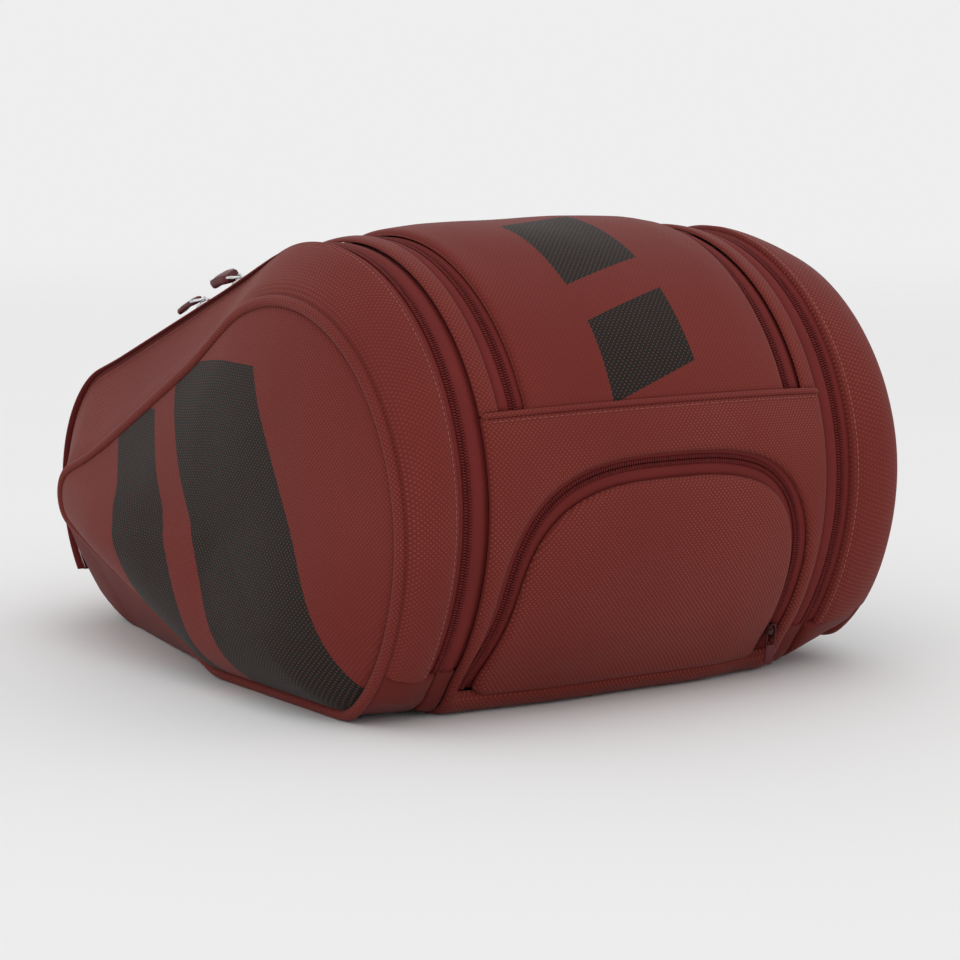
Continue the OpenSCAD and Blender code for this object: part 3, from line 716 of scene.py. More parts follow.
def studio():
    """A long lens at the product photo's angle, soft light from above and both sides, and a pale floor."""
    camera = bpy.data.objects.new("camera", bpy.data.cameras.new("camera"))
    camera.location = (-1.2138, -1.8432, 0.4304)
    camera.rotation_euler = Vector((0.5557, 0.8199, -0.1383)).to_track_quat("-Z", "Y").to_euler()
    camera.data.lens, camera.data.sensor_width = 112.5, 36
    bpy.context.scene.collection.objects.link(camera)
    bpy.context.scene.camera = camera
    bpy.context.scene.view_settings.view_transform = "Standard"

    for name, spot, aim, size, watts in (
            ("top_light", (-0.3, -0.5, 2.4), (0, 0, 0.1), 2.2, 7.0),
            ("front_light", (-2.0, -2.2, 1.3), (0, 0, 0.12), 1.6, 2.6),
            ("right_light", (2.3, -1.2, 1.5), (0, 0, 0.12), 1.6, 1.6),
            ("back_light", (0.6, 2.4, 1.8), (0, 0, 0.1), 1.8, 2.0)):
        light = bpy.data.objects.new(name, bpy.data.lights.new(name, "AREA"))
        light.data.size, light.data.energy = size, watts
        light.location = spot
        light.rotation_euler = (Vector(aim) - Vector(spot)).to_track_quat("-Z", "Y").to_euler()
        bpy.context.scene.collection.objects.link(light)

    world = bpy.data.worlds.new("studio")
    world.use_nodes = True
    world.node_tree.nodes["Background"].inputs["Color"].default_value = (0.86, 0.86, 0.86, 1)
    world.node_tree.nodes["Background"].inputs["Strength"].default_value = 1.0
    bpy.context.scene.world = world

    paint = Paint("pale_floor", 0.9, specular=0.1)
    away = paint.node("VectorMath", paint.spot(), operation="LENGTH", out=1)
    paint.put(paint.shader.inputs["Alpha"], paint.smooth(away, 5.0, 1.2))
    paint.finish(paint.mix(paint.noise(2.0), (0.865, 0.865, 0.865), (0.885, 0.885, 0.885)))
    half = 6.0
    floor = make("floor", [(-half, -half, 0), (half, -half, 0), (half, half, 0), (-half, half, 0)],
                 [(0, 1, 2, 3)], paint.material)


studio()


# ---------------------------------------------------------------- panels of the middle section


def laid(name, x, w, top, bottom, material, start=0.0, **kind):
    """A closed shell on the middle section: x and w are grids, and w is measured round the seam outline.

    top and bottom are heights above the crowned outline, and start is where the cloth coordinates begin.
    """
    t = SEAM.share(w)
    return shell(name, middle(x, t, top), middle(x, t, bottom), material, pair(x, w - start), **kind)


def uneven(x, w, size, depth, seed, rim, reach, out=0.0):
    """Soft swelling of a panel on the middle section, fading towards its rim."""
    return ripple(middle(x, SEAM.share(w), out), size, depth, seed) * np.clip(rim / reach, 0, 1)


def from_rim(x, y):
    """How far the points of an upright grid lie from its rim."""
    return np.minimum(np.minimum(x - x[:, :1], x[:, -1:] - x), np.minimum(y - y[:1], y[-1:] - y))


def panel(name, xs, ws, out, thick, material, round_r=0.004, swell=0.0, seed=0.0):
    """A padded panel with rolled rims over a grid of the middle section."""
    rim = from_rim(xs, ws)
    body = puff(rim, round_r)
    rise = swell * np.clip(rim / 0.05, 0, 1) ** 0.7
    rough = uneven(xs, ws, 0.055, 0.0011, seed, rim, 0.02, out)
    return laid(name, xs, ws, out + thick * (0.42 + 0.58 * body) + rise + rough,
                out + thick * (0.42 - 0.42 * body) + rise * 0.8, material)


def eased(start, stop, count, rim=0.004, rows=4):
    """Values from start to stop with close rows near both ends, for a rolled rim."""
    near = rim * (1 - np.cos(np.linspace(0, math.pi / 2, rows + 1)))
    middle_run = np.linspace(start + rim, stop - rim, count)
    return np.concatenate([start + near[:-1], middle_run, (stop - near[:-1])[::-1]])


def inwards(rim, close, stop, count):
    """Shares from a disc's rim towards its hub: close rows over the rolled rim, then even ones."""
    return np.concatenate([rim * (1 - np.cos(np.linspace(0, math.pi / 2, close))),
                           np.linspace(rim, stop, count)[1:]])


def rect(x0, x1, w0, w1, cols, rows, rim=0.004):
    """A grid over the middle section from x0 to x1 and from w0 to w1 metres round it."""
    return np.meshgrid(eased(x0, x1, cols, rim), eased(w0, w1, rows, rim))


def arch(inset, foot=ARCH_FOOT, lower=0.0):
    """The shoe zip's arch, inset metres inside its centre line and with its top lower metres further down."""
    half, rise = ARCH_W - inset, ARCH_TOP - inset - lower - ARCH_SPRING
    a = np.linspace(math.pi, 0, 97)
    x = half * np.sign(np.cos(a)) * abs(np.cos(a)) ** (2 / 3)
    z = ARCH_SPRING + rise * np.sin(a) ** (2 / 3)
    legs = np.linspace(foot, ARCH_SPRING, 9)[:-1]
    x = np.concatenate([np.full(8, -half), x, np.full(8, half)])
    z = np.concatenate([legs, z, legs[::-1]])
    return x, z


ARCH_HUB = (0.0, float(near_w(0.085)))


def polar_loop(x, w, centre, angles):
    """The distances of a closed loop (x, w) from a centre, at the given angles."""
    gone = lengths_along(np.stack([x, w], -1))
    marks = np.linspace(0, gone[-1], 3000)
    dx, dw = np.interp(marks, gone, x) - centre[0], np.interp(marks, gone, w) - centre[1]
    angle = np.unwrap(np.arctan2(dw, dx))
    order = np.argsort(angle)
    return np.interp(angles, angle[order], np.hypot(dx, dw)[order], period=2 * math.pi)


def closed_arch(inset, lower):
    """The arch closed along its foot, in x and w, and the spot that its angles are counted about."""
    x, z = arch(inset, lower=lower)
    base = np.linspace(x[-1], x[0], 30)[1:]
    return np.concatenate([x, base]), near_w(np.concatenate([z, np.full(29, ARCH_FOOT)])), ARCH_HUB


def rim_steps(length):
    """Distances from one rim to the other, for each of many lengths, close together at both rims."""
    rim, rows = 0.0045, 5
    near = rim * (1 - np.cos(np.linspace(0, math.pi / 2, rows + 1)))[:-1, None]
    mid = rim + (length - 2 * rim) * np.linspace(0, 1, 9)[:, None]
    return np.concatenate([np.broadcast_to(near, (rows, len(length))), mid, length - near[::-1]])


def near_end_panel():
    """The panel round the shoe zip, from the hem up to the seam under the main flap."""
    low, high = W_HEM - 0.007, W_SEAM - 0.0006
    hub_w = ARCH_HUB[1]
    corners = [math.atan2(w - hub_w, x) for x in (-EDGE_X, EDGE_X) for w in (low, high)]
    angles = np.sort(np.concatenate([np.linspace(-math.pi, math.pi, 200, endpoint=False), corners]))
    hole = polar_loop(*closed_arch(-0.0085, 0.0035), angles)
    c, s = np.cos(angles), np.sin(angles)
    with np.errstate(divide="ignore"):
        edge = np.minimum(EDGE_X / abs(c), np.where(s > 0, high - hub_w, hub_w - low) / abs(s))
    from_hole = rim_steps(edge - hole)
    x, w = (hole + from_hole) * c, hub_w + (hole + from_hole) * s
    rim = np.minimum(from_hole, np.minimum(EDGE_X - abs(x), np.minimum(high - w, w - low)))
    rim = np.clip(rim, 0, 1)
    body = puff(rim, 0.0045)
    rough = uneven(x, w, 0.05, 0.0012, 3.1, rim, 0.015)
    top = 0.0035 + 0.0030 * body + 0.0012 * np.clip(rim / 0.012, 0, 1) + rough
    piece = laid("near_end_panel_cloth", x, w, top, 0.0030 - 0.0012 * body + rough, M["shell"], ring=True)
    place(piece, "main_body", "near_end_panel")


def shoe_flap():
    """The padded panel inside the shoe zip's arch, as a disc of rings round a hub."""
    angles = np.linspace(-math.pi, math.pi, 150, endpoint=False)
    reach = polar_loop(*closed_arch(0.0070, 0.0035), angles)
    inward = inwards(0.05, 7, 0.97, 16)[:, None] * reach
    x, w = (reach - inward) * np.cos(angles), ARCH_HUB[1] + (reach - inward) * np.sin(angles)
    body = puff(inward, 0.006)
    rise = 0.0042 + 0.0030 * np.clip(inward / 0.05, 0, 1) ** 0.7
    top = 0.0028 + rise * body + uneven(x, w, 0.06, 0.0014, 7.7, inward, 0.02)
    piece = laid("shoe_flap_cloth", x, w, top, 0.0028 - 0.0009 * body, M["shell"], ring=True, centre=True)
    place(piece, "shoe_flap", "shoe_flap_panel")


def main_flap():
    """The padded middle of the main flap, from the seam to its rounded far corners."""
    inset = 0.0075
    half, w1, corner = MAIN_X - inset, W_FLAP_END - inset, ZIP_CORNER - inset
    ws = eased(W_FLAP_FOOT, w1, 90, 0.005)
    short = np.clip(ws - (w1 - corner), 0, corner)
    width = half - corner + np.sqrt(np.clip(corner ** 2 - short ** 2, 0, None))
    across, w = np.meshgrid(eased(-1, 1, 46, 0.04), ws)
    x = across * width[:, None]
    rim = np.minimum(width[:, None] - abs(x), np.minimum(w - W_FLAP_FOOT + 0.0012, w1 - w))
    rim = np.clip(rim, 0, 1)
    body = puff(rim, 0.005)
    top = (0.0026 + 0.0040 * body + 0.0012 * np.clip(rim / 0.03, 0, 1)
           + uneven(x, w, 0.07, 0.0016, 5.5, rim, 0.02))
    piece = laid("main_flap_cloth", x, w, top, 0.0026 - 0.0006 * body, M["flap"], W_SEAM)
    place(piece, "main_flap", "flap_panel")


def flap_line(inset):
    """The main zip's path in x and w, inset metres inside its centre line, from its left end to its right."""
    half, end, corner = MAIN_X - inset, W_FLAP_END - inset, ZIP_CORNER - inset
    up = np.linspace(W_FLAP_FOOT, end - corner, 90)
    bend = np.linspace(math.pi, math.pi / 2, 10)[1:-1]
    over = np.linspace(-half + corner, half - corner, 26)
    x = np.concatenate([np.full(90, -half), -half + corner + corner * np.cos(bend), over,
                        half - corner - corner * np.cos(bend[::-1]), np.full(90, half)])
    w = np.concatenate([up, end - corner + corner * np.sin(bend), np.full(26, end),
                        end - corner + corner * np.sin(bend[::-1]), up[::-1]])
    return x, w


def arch_line(inset, foot=ARCH_FOOT):
    """The shoe zip's path in x and w, inset metres inside its centre line."""
    x, z = arch(inset, foot)
    return x, near_w(z)


def long_arch_line(inset):
    """The shoe zip's line with feet that run under the rim of the panel below."""
    return arch_line(inset, ARCH_FOOT - 0.006)


def racket_line(side):
    """A racket zip's path at a distance inset towards the middle section."""
    def line(inset):
        w = np.linspace(W_ZIP_NEAR, W_ZIP_FAR, 260)
        return np.full(260, side * (RACKET_X - inset)), w
    return line


def ribbon(name, line, insets, tops, bottoms, material):
    """A tape that follows a line: at each inset it reaches from bottoms to tops above the crowned outline."""
    x, w = (np.array(rows) for rows in zip(*(line(inset) for inset in insets)))
    return laid(name, x, w, tops[:, None], bottoms[:, None], material)


def raised(x, w, out):
    """Points out metres above a line (x, w) on the middle section, and the outward normals there."""
    t = SEAM.share(w)
    return middle(x, t, out), xyz(0, SEAM.at(t)[1])


TOOTH_PITCH, TOOTH_L, TOOTH_H = 0.0019, 0.0036, 0.0019


def coil(name, line, side, phase):
    """One half of a zip's coil: a row of teeth beside the line, towards positive or negative inset."""
    points, tops = resample(*raised(*line(side * TOOTH_L * 0.46), TAPE_OUT), TOOTH_PITCH)
    if phase:
        points, tops = (points[1:] + points[:-1]) / 2, (tops[1:] + tops[:-1]) / 2
    verts, faces = capsule(TOOTH_PITCH * 0.80, TOOTH_L, TOOTH_H, 5, 6)
    slanting = [(b, a + 0.12 * b * side, c) for a, b, c in verts]
    return copies(name, slanting, faces, points, tops, M["coil"])


def plain_band(wide, high):
    """Insets and heights of a tape from beside its coil out to its seam, swelling a little between."""
    start, seam = 0.0032, 0.0006
    q = np.array([0, 0.04, 0.14, 0.30, 0.50, 0.70, 0.86, 0.96, 1.0])
    insets = 0.0004 + q * wide
    hump = np.clip((insets - start) / (wide - start), 0, 1)
    tops = 0.0009 + (high - 0.0009) * np.sin(math.pi * hump ** 0.8) ** 0.7 * (insets > start)
    tops[-1], tops[-2] = seam, max(seam, tops[-2] * 0.6)
    insets, tops = np.append(insets, insets[-1] + 0.0045), np.append(tops, seam)
    return insets, tops, np.full(10, -0.0004)


def zip_half(name, line, way, wide, high, body, node, tape_line=None):
    """One side of a zip: its tape, and its row of teeth. way is 1 towards positive insets, or -1."""
    insets, tops, bottoms = plain_band(wide, high)
    band = ribbon(f"{name}_band", tape_line or line, way * insets, tops, bottoms, M["tape"])
    place(band, body, node)
    place(coil(f"{name}_coil", line, way, body != "main_body"), body)


def zips():
    """Every zip: its two tapes and its two half coils, each on its own body."""
    for side_name, side in SIDES.items():
        line, name = racket_line(side), f"{side_name}_zip"
        wide = RACKET_X - EDGE_X - 0.0006
        zip_half(f"{name}_body", line, 1, wide, 0.0030, "main_body", f"{name}_body_tape")
        zip_half(f"{name}_cover", line, -1, 0.0095, 0.0016, f"{side_name}_cover", f"{name}_cover_tape")
    zip_half("main_zip_body", flap_line, -1, 0.0122, 0.0026, "main_body", "main_zip_body_tape")
    zip_half("main_zip_flap", flap_line, 1, 0.0105, 0.0014, "main_flap", "flap_zip_tape")
    zip_half("shoe_zip_body", arch_line, -1, 0.0120, 0.0026, "main_body", "shoe_zip_body_tape",
             long_arch_line)
    zip_half("shoe_zip_flap", arch_line, 1, 0.0105, 0.0014, "shoe_flap", "shoe_flap_tape")


def zip_corner(side):
    """The gore outside the main zip's rounded far corner."""
    angle = np.linspace(0, math.pi / 2, 26)[None]
    near, reach = ZIP_CORNER + 0.0115, ZIP_CORNER + 0.0140
    far = reach / np.maximum(np.cos(angle), np.sin(angle))
    radius = near + (far - near) * np.linspace(0, 1, 7)[:, None]
    x = side * (MAIN_X - ZIP_CORNER + radius * np.cos(angle))
    w = W_FLAP_END - ZIP_CORNER + radius * np.sin(angle)
    body = puff(np.minimum(radius - near, far - radius), 0.003)
    return laid(f"zip_corner{side + 1}", x, w, 0.0022 + 0.0022 * body, 0.0016, M["soft_shell"])


def top_bands():
    """The strips between the main zip and the racket zips, each with the gore at its far corner."""
    for side_name, side in SIDES.items():
        x0, x1 = sorted((side * (MAIN_X + 0.0125), side * (EDGE_X - 0.0002)))
        grid = rect(x0, x1, W_FLAP_FOOT, W_FLAP_END + 0.0128, 8, 90, 0.0035)
        strip = panel(f"{side_name}_top_band_strip", *grid, 0.0020, 0.0034, M["soft_shell"], 0.0040,
                      swell=0.0008, seed=side * 2.2)
        whole = join(f"{side_name}_top_band_cloth", strip, zip_corner(side))
        place(whole, "main_body", f"{side_name}_top_band")


def far_end():
    """The panel round the nose, from the main zip's far end down under the hem."""
    edge = EDGE_X - 0.0002
    grid = rect(-edge, edge, W_FLAP_END + 0.0118, W_FAR_HEM + 0.016, 40, 46)
    piece = panel("far_end_cloth", *grid, 0.0012, 0.0032, M["shell"], swell=0.0016, seed=9.2)
    place(piece, "main_body", "far_end_panel")


def seam_ridge():
    """The folded edge that crosses the near end where the flap starts, with its topstitching."""
    x = np.linspace(-EDGE_X + 0.0008, EDGE_X - 0.0008, 120)
    w = np.full(120, W_SEAM - 0.0002)
    drop = 0.0022 * (1 - np.clip((EDGE_X - abs(x)) / 0.006, 0, 1)) ** 2
    path, up = raised(x, w, 0.0056 - drop)
    ridge = sweep("seam_ridge", path, up, round_section(0.0042, 0.0044, 14, 2.4), M["shell"])
    place(ridge, "main_body", "near_seam_hem")
    row = middle(x, SEAM.share(w - 0.0044), 0.0069 - drop)[2:-2]
    place(stitches("seam_ridge_stitches", row, up[2:-2], M["thread"]), "main_body")


near_end_panel()
shoe_flap()
main_flap()
top_bands()
far_end()
seam_ridge()
zips()


# ---------------------------------------------------------------- covers: gusset, piping, face, lining


class Loop:
    """A closed outline with its corners rounded off, at shares of the way round."""

    def __init__(self, outline, reach):
        total, count = outline.w_marks[-1], 900
        self.w = np.linspace(0, total, count, endpoint=False)
        self.outline, self.total = outline, total
        self.points = soften(outline.at(outline.share(self.w))[0], reach / total * count, closed=True)
        along = np.roll(self.points, -1, 0) - np.roll(self.points, 1, 0)
        along /= np.linalg.norm(along, axis=1)[:, None]
        self.normals = np.stack([-along[:, 1], along[:, 0]], -1)

    def at(self, t, out=0.0):
        """Points (y, z) and outward normals; t past 1 goes round again."""
        w = self.outline.length(np.mod(t, 1.0))
        spot, normal = (np.stack([np.interp(w, self.w, row, period=self.total) for row in values.T], -1)
                        for values in (self.points, self.normals))
        normal /= np.linalg.norm(normal, axis=-1)[..., None]
        return spot + normal * np.asarray(out, float)[..., None], normal


SEAM_LOOP, PIPE_LOOP = Loop(SEAM, 0.006), Loop(PIPING, 0.007)
GUSSET_X0, GUSSET_X1 = 0.1682, PIPE_X - PIPE_R * 0.35
ROW_IN = 0.0034                                       # from the gusset's folded edge to its stitches


def bell(value, middle_at, width):
    """1 where the value is middle_at, falling smoothly to nothing on both sides."""
    return np.exp(-((value - middle_at) / width) ** 2)


def side_wall(side, t, v, x0, x1, seam_out, pipe_out, bulge):
    """Points between the seam outline (v = 0) and the piping (v = 1)."""
    t, v, bulge = np.broadcast_arrays(t, v, bulge)
    near, near_n = SEAM_LOOP.at(t, seam_out)
    far, far_n = PIPE_LOOP.at(t, pipe_out)
    share = v[..., None]
    spot = near * (1 - share) + far * share + (near_n * (1 - share) + far_n * share) * bulge[..., None]
    return xyz(side * (x0 + (x1 - x0) * v), spot)


def gusset(side_name, side):
    """The padded wall of a cover: a folded, topstitched edge beside the zip and a soft roll at the piping."""
    w = eased(W_ZIP_NEAR, W_ZIP_FAR, 210)[None]
    t = SEAM.share(w)
    v = eased(0, 1, 13, 0.10, 5)[:, None]
    wide = GUSSET_X1 - GUSSET_X0
    body = puff(np.minimum(v, 1.0 - v) * wide, 0.0036) * np.ones_like(t)
    heel = bell(w, near_w(0.19), 0.10)
    slope = smoothstep((w - W_TOP + 0.04) / 0.09)
    full = 0.0075 if side > 0 else 0.0015
    lean = full * bell(w, near_w(0.13), 0.13)
    hump = ((0.0042 + 0.0022 * heel) * (1 - 0.9 * slope) * np.sin(math.pi * v) ** 0.8
            + lean * np.sin(math.pi * v ** 1.8) ** 0.8)
    valley = -0.0010 * bell(v * wide, ROW_IN, 0.0011)
    roll = 0.0012 * bell((1 - v) * wide, 0.0062, 0.003)
    grid = (side, t, v, GUSSET_X0, GUSSET_X1)
    rough = ripple(side_wall(*grid, 0, 0, 0 * v), 0.06, 0.0016, 11.3 + side) * np.sin(math.pi * v)
    top = (0.0022 + 0.0034 * body) * (1 - 0.62 * slope)
    outer = side_wall(*grid, top * (1 - 0.3 * v), 0.0012,
                      hump + valley + roll + rough + v * (top - 0.0022) * 0.7)
    inner = side_wall(*grid, 0.0012, -0.0010, hump * 0.9 + rough - 0.0012 * body)
    piece = shell(f"{side_name}_gusset_cloth", outer, inner, M["soft_shell"], pair(v * wide, w))
    cover = f"{side_name}_cover"
    place(piece, cover, f"{side_name}_gusset")
    row = outer[np.argmin(abs(v[:, 0] * wide - ROW_IN))]
    ups = xyz(0, SEAM_LOOP.at(t[0])[1])
    thread = stitches(f"{side_name}_gusset_stitches", row, ups, M["thread"], width=0.0009)
    place(thread, cover)


def piping(side_name, side):
    """The round welt between a cover's gusset and its face."""
    w = np.linspace(0, PIPE_LOOP.total, 460, endpoint=False)
    spot, normal = PIPE_LOOP.at(PIPING.share(w))
    tube = sweep(f"{side_name}_piping_tube", xyz(side * PIPE_X, spot), xyz(0, normal),
                 round_section(2 * PIPE_R, 2 * PIPE_R, 14), M["piping"], closed=True)
    place(tube, f"{side_name}_cover", f"{side_name}_piping")


FACE_HUB = np.array([-0.070, 0.112])


def face_points(height, drop, share):
    """Points of a domed disc inside the piping and their height: share is 0 at its rim and 1 at its hub.

    The padding hangs, so the dome is steeper and fuller along the lower edge.
    """
    w = np.linspace(0, PIPE_LOOP.total, 260, endpoint=False)
    rim, normal = PIPE_LOOP.at(PIPING.share(w), -drop)
    share = share[:, None]
    spot = rim[None] * (1 - share[..., None]) + FACE_HUB * share[..., None]
    low = soften(smoothstep(-1.25 * normal[:, 1:])[:, :1], 8, closed=True)[:, 0]
    steep = 2.3 + 4.0 * low
    belly = 0.45 * low * np.sin(math.pi * np.clip(share, 0, 1) ** 0.7) ** 1.2
    return spot, height * (1 - (1 - share) ** steep + belly)


def face(side_name, side):
    """The big domed panel of a cover, fuller round its rim, with its print."""
    spot, high = face_points(0.0215, 0.0026, inwards(0.045, 7, 0.96, 26))
    rim = np.linalg.norm(spot - spot[:1], axis=-1)
    body = puff(rim, 0.006)
    flat = xyz(side * PIPE_X, spot)
    rough = ripple(flat, 0.13, 0.0026, 4.2 + side) + ripple(flat, 0.05, 0.0008, 8.8)
    x = PIPE_X - 0.0008 + 0.0030 * body + high + rough * np.clip(rim / 0.05, 0, 1)
    outer, inner = xyz(side * x, spot), xyz(side * (x - 0.0006 - 0.0022 * body), spot)
    piece = shell(f"{side_name}_face_cloth", outer, inner, M["face"], spot, ring=True, centre=True)
    place(piece, f"{side_name}_cover", f"{side_name}_face")


def lining(side_name, side):
    """Quilted foil lining inside the face and along the inside of the gusset."""
    share = np.linspace(0, 0.96, 40)
    spot, high = face_points(0.0120, 0.0062, share)
    y, z = math.pi / 0.042 * np.moveaxis(spot, -1, 0)
    quilt = 0.0010 * abs(np.sin(y + z) * np.sin(y - z)) ** 0.5
    x = 0.2015 + high - quilt * np.clip(share[:, None] / 0.08, 0, 1)
    outer, inner = xyz(side * (x + 0.0012), spot), xyz(side * x, spot)
    dish = shell(f"{side_name}_lining_dish", outer, inner, M["foil"], spot, ring=True, centre=True)
    w = np.linspace(W_ZIP_NEAR, W_ZIP_FAR, 160)[None]
    v = np.linspace(0, 1, 12)[:, None]
    x0, x1 = 0.1690, 0.2000
    grid = (side, SEAM.share(w), v, x0, x1)
    hump = 0.0036 * np.sin(math.pi * v) * np.ones_like(w)
    outer = side_wall(*grid, -0.0004, -0.0034, hump - 0.0008)
    inner = side_wall(*grid, -0.0012, -0.0042, hump - 0.0012)
    wall = shell(f"{side_name}_lining_wall", outer, inner, M["foil"], pair(v * (x1 - x0), w))
    whole = join(f"{side_name}_lining_cloth", dish, wall)
    place(whole, f"{side_name}_cover", f"{side_name}_lining")


def foot_panel(side_name, side):
    """The part of a side wall below the zip's ends. It stays sewn to the body and to the cover; here it is
    built as one fixed piece that rides on no body.
    """
    total = SEAM.w_marks[-1]
    w = eased(W_ZIP_FAR + 0.0004, W_ZIP_NEAR + total - 0.0004, 150, 0.0035)
    t = (np.floor(w / total) + SEAM.share(np.mod(w, total)))[None]
    v = eased(0, 1, 12, 0.09, 5)[:, None]
    x0, x1 = RACKET_X + 0.0006, GUSSET_X1
    wide = x1 - x0
    edge = np.minimum(np.minimum(v, 1 - v) * wide, np.minimum(w - w[0], w[-1] - w)[None])
    body = puff(edge, 0.0036)
    flat = np.clip(SEAM_LOOP.at(t)[0][..., 1] / 0.02, 0, 1)
    hump = 0.0042 * np.sin(math.pi * v) ** 0.8 * flat
    grid = (side, t, v, x0, x1, 0, 0)
    rough = ripple(side_wall(*grid, 0 * v), 0.06, 0.0014, 21.3 + side) * np.sin(math.pi * v) * flat
    top = (0.0008 + 0.0034 * body) * (0.05 + 0.95 * flat)
    outer = side_wall(*grid, hump + rough + top)
    inner = side_wall(*grid, hump * 0.9 + rough - 0.0012 - 0.0006 * body)
    outer[..., 2] = np.maximum(outer[..., 2], 0.0004)
    inner[..., 2] = np.maximum(inner[..., 2], 0.0010)
    # the foot cloth's darker colour is painted shade low on the side wall
    piece = shell(f"{side_name}_foot_cloth", outer, inner, M["foot"], pair(v * wide, w[None]))
    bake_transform(piece)
    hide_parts(f"{side_name}_foot_panel")


for side_name, side in SIDES.items():
    gusset(side_name, side)
    piping(side_name, side)
    face(side_name, side)
    lining(side_name, side)
    foot_panel(side_name, side)


# ---------------------------------------------------------------- sliders, pullers and pulls


SLIDER_OUT = 0.0042                                   # above the seam outline


class Spot:
    """A place on the bag with its own side, along and up directions."""

    def __init__(self, origin, along, up):
        self.origin = np.array(origin, float)
        self.along, self.up = np.array(along, float), np.array(up, float)
        self.side = np.cross(self.along, self.up)

    def __call__(self, local):
        local = np.asarray(local, float)
        return (self.origin + local[..., :1] * self.side + local[..., 1:2] * self.along
                + local[..., 2:] * self.up)


def plate(name, spot, outline, low, high, material, bevel):
    """A flat plate with a rounded rim; outline is closed, in side and along."""
    outline = np.asarray(outline, float)
    out = np.roll(outline, -1, 0) - np.roll(outline, 1, 0)
    out /= np.linalg.norm(out, axis=1)[:, None]
    out = np.stack([out[:, 1], -out[:, 0]], -1)
    rings = []
    for angle in np.linspace(-math.pi / 2, math.pi / 2, 7):
        shrink = bevel * (1 - math.cos(angle))
        up = low + bevel + (high - low - 2 * bevel) * (angle > 0) + bevel * math.sin(angle)
        rings.append(at_height(outline - out * shrink, up))
    return tube(name, spot(np.array(rings)), material)


def wire(name, spot, points, width, height, material, closed=False, up=UP):
    """A bent bar through points in a spot's own directions."""
    lift = spot(np.asarray(up, float)) - spot.origin
    return sweep(name, spot(points), lift, round_section(width, height, 10, 2.3), material, closed=closed)


def slider(name, spot, material):
    """A coil slider: a waisted top plate with turned-down flanges, a lower plate and a bridge for the pull.

    Its body and its CAD node are both called name.
    """
    around = np.sin(np.linspace(0, 2 * math.pi, 48, endpoint=False))
    outline = rounded_loop(48, 0.0041 + 0.0006 * around - 0.0007 * around ** 2, 0.0063, 0.45, 0.6)
    parts = [plate(f"{name}_top", spot, outline, 0.0002, 0.0016, material, 0.0005),
             plate(f"{name}_under", spot, outline * 0.94, -0.0029, -0.0021, material, 0.0003)]
    for edge in (-1, 1):
        run = np.linspace(-0.0046, 0.0046, 9)
        line = np.stack([edge * (0.0037 + 0.0004 * run / 0.0046), run, np.full(9, -0.0004)], -1)
        parts.append(wire(f"{name}_flange{edge + 1}", spot, line, 0.0009, 0.0022, material))
    a = np.linspace(0, math.pi, 13)
    arch = np.stack([0 * a, -0.0046 * np.cos(a), 0.0011 + 0.0046 * np.sin(a) ** 0.7], -1)
    parts.append(wire(f"{name}_bridge", spot, arch, 0.0024, 0.0011, material, up=(1, 0, 0)))
    place(join(f"{name}_cast", *parts), name, name)


def ring_link(name, spot, length, width, thick, material, start=0.0, lift=0.0):
    """A rounded rectangular loop of bar, from the bridge to the tab."""
    x, y = rounded_loop(40, width / 2, length / 2, 0.55, 0.55).T
    bow = lift + 0.0008 * np.sin(np.linspace(0, 2 * math.pi, 40, endpoint=False))
    shape = np.stack([x, start + length / 2 + y, bow], -1)
    return wire(name, spot, shape, thick, thick * 0.85, material, closed=True)


def strap_tab(name, spot, start, length, width, thick, rise, material, droop=0.0):
    """A stiff tab that loops round the link's bar, arches, and ends in a rounded tip."""
    q = np.linspace(0, 1, 36)
    bar = 0.0016
    centre = spot(np.stack([0 * q, start + q * length, bar + rise * np.sin(math.pi * q) + droop * q * q], -1))
    narrow = np.sqrt(np.clip(1 - ((q - 0.80) / 0.20).clip(0, 1) ** 2 * 0.97, 0, 1))
    neck = 1 - 0.22 * np.exp(-(q / 0.10) ** 2)
    section = round_section(1, 1, 16, 3.6)
    _, side, up = frames_along(centre, spot.up)
    wide, high = width * narrow * neck, thick * (0.55 + 0.45 * narrow)
    rings = (centre[:, None] + (section[None, :, 0, None] * wide[:, None, None]) * side[:, None]
             + (section[None, :, 1, None] * high[:, None, None]) * up[:, None])
    body = tube(name, rings, material)
    rows = slice(3, 33)
    sewn = []
    for edge in (-1, 1):
        line = centre[rows] + side[rows] * (edge * (wide[rows] / 2 - 0.0013).clip(0.0004, 1))[:, None]
        line = line + up[rows] * (high[rows] * 0.43)[:, None]
        sewn.append(stitches(f"{name}_stitches{edge + 1}", line, up[rows], M["thread"], 0.0026, 0.0005))
    return join(f"{name}_sewn", body, *sewn)


def top_spot(node, side_x):
    """The spot of a slider whose node lies on the straight top, facing the nose."""
    low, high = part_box(node)
    y, z = (low.y + high.y) / 2, (low.z + high.z) / 2
    normal = unit(SEAM.top_a)
    out = float((np.array([y, z]) - SEAM.top_start) @ normal)
    surface = np.array([y, z]) + normal * (SLIDER_OUT - out)
    along = np.array([0.0, normal[1], -normal[0]])
    return Spot((side_x, *surface), along, (0.0, *normal))


def tilted(spot, origin, tilt, roll=0.0):
    """A spot at an origin, tilted up from the zip and rolled outwards."""
    along = spot.along * math.cos(tilt) + spot.up * math.sin(tilt)
    up = spot.up * math.cos(tilt) - spot.along * math.sin(tilt)
    return Spot(origin, along, up * math.cos(roll) + np.array([math.sin(roll), 0, 0]))


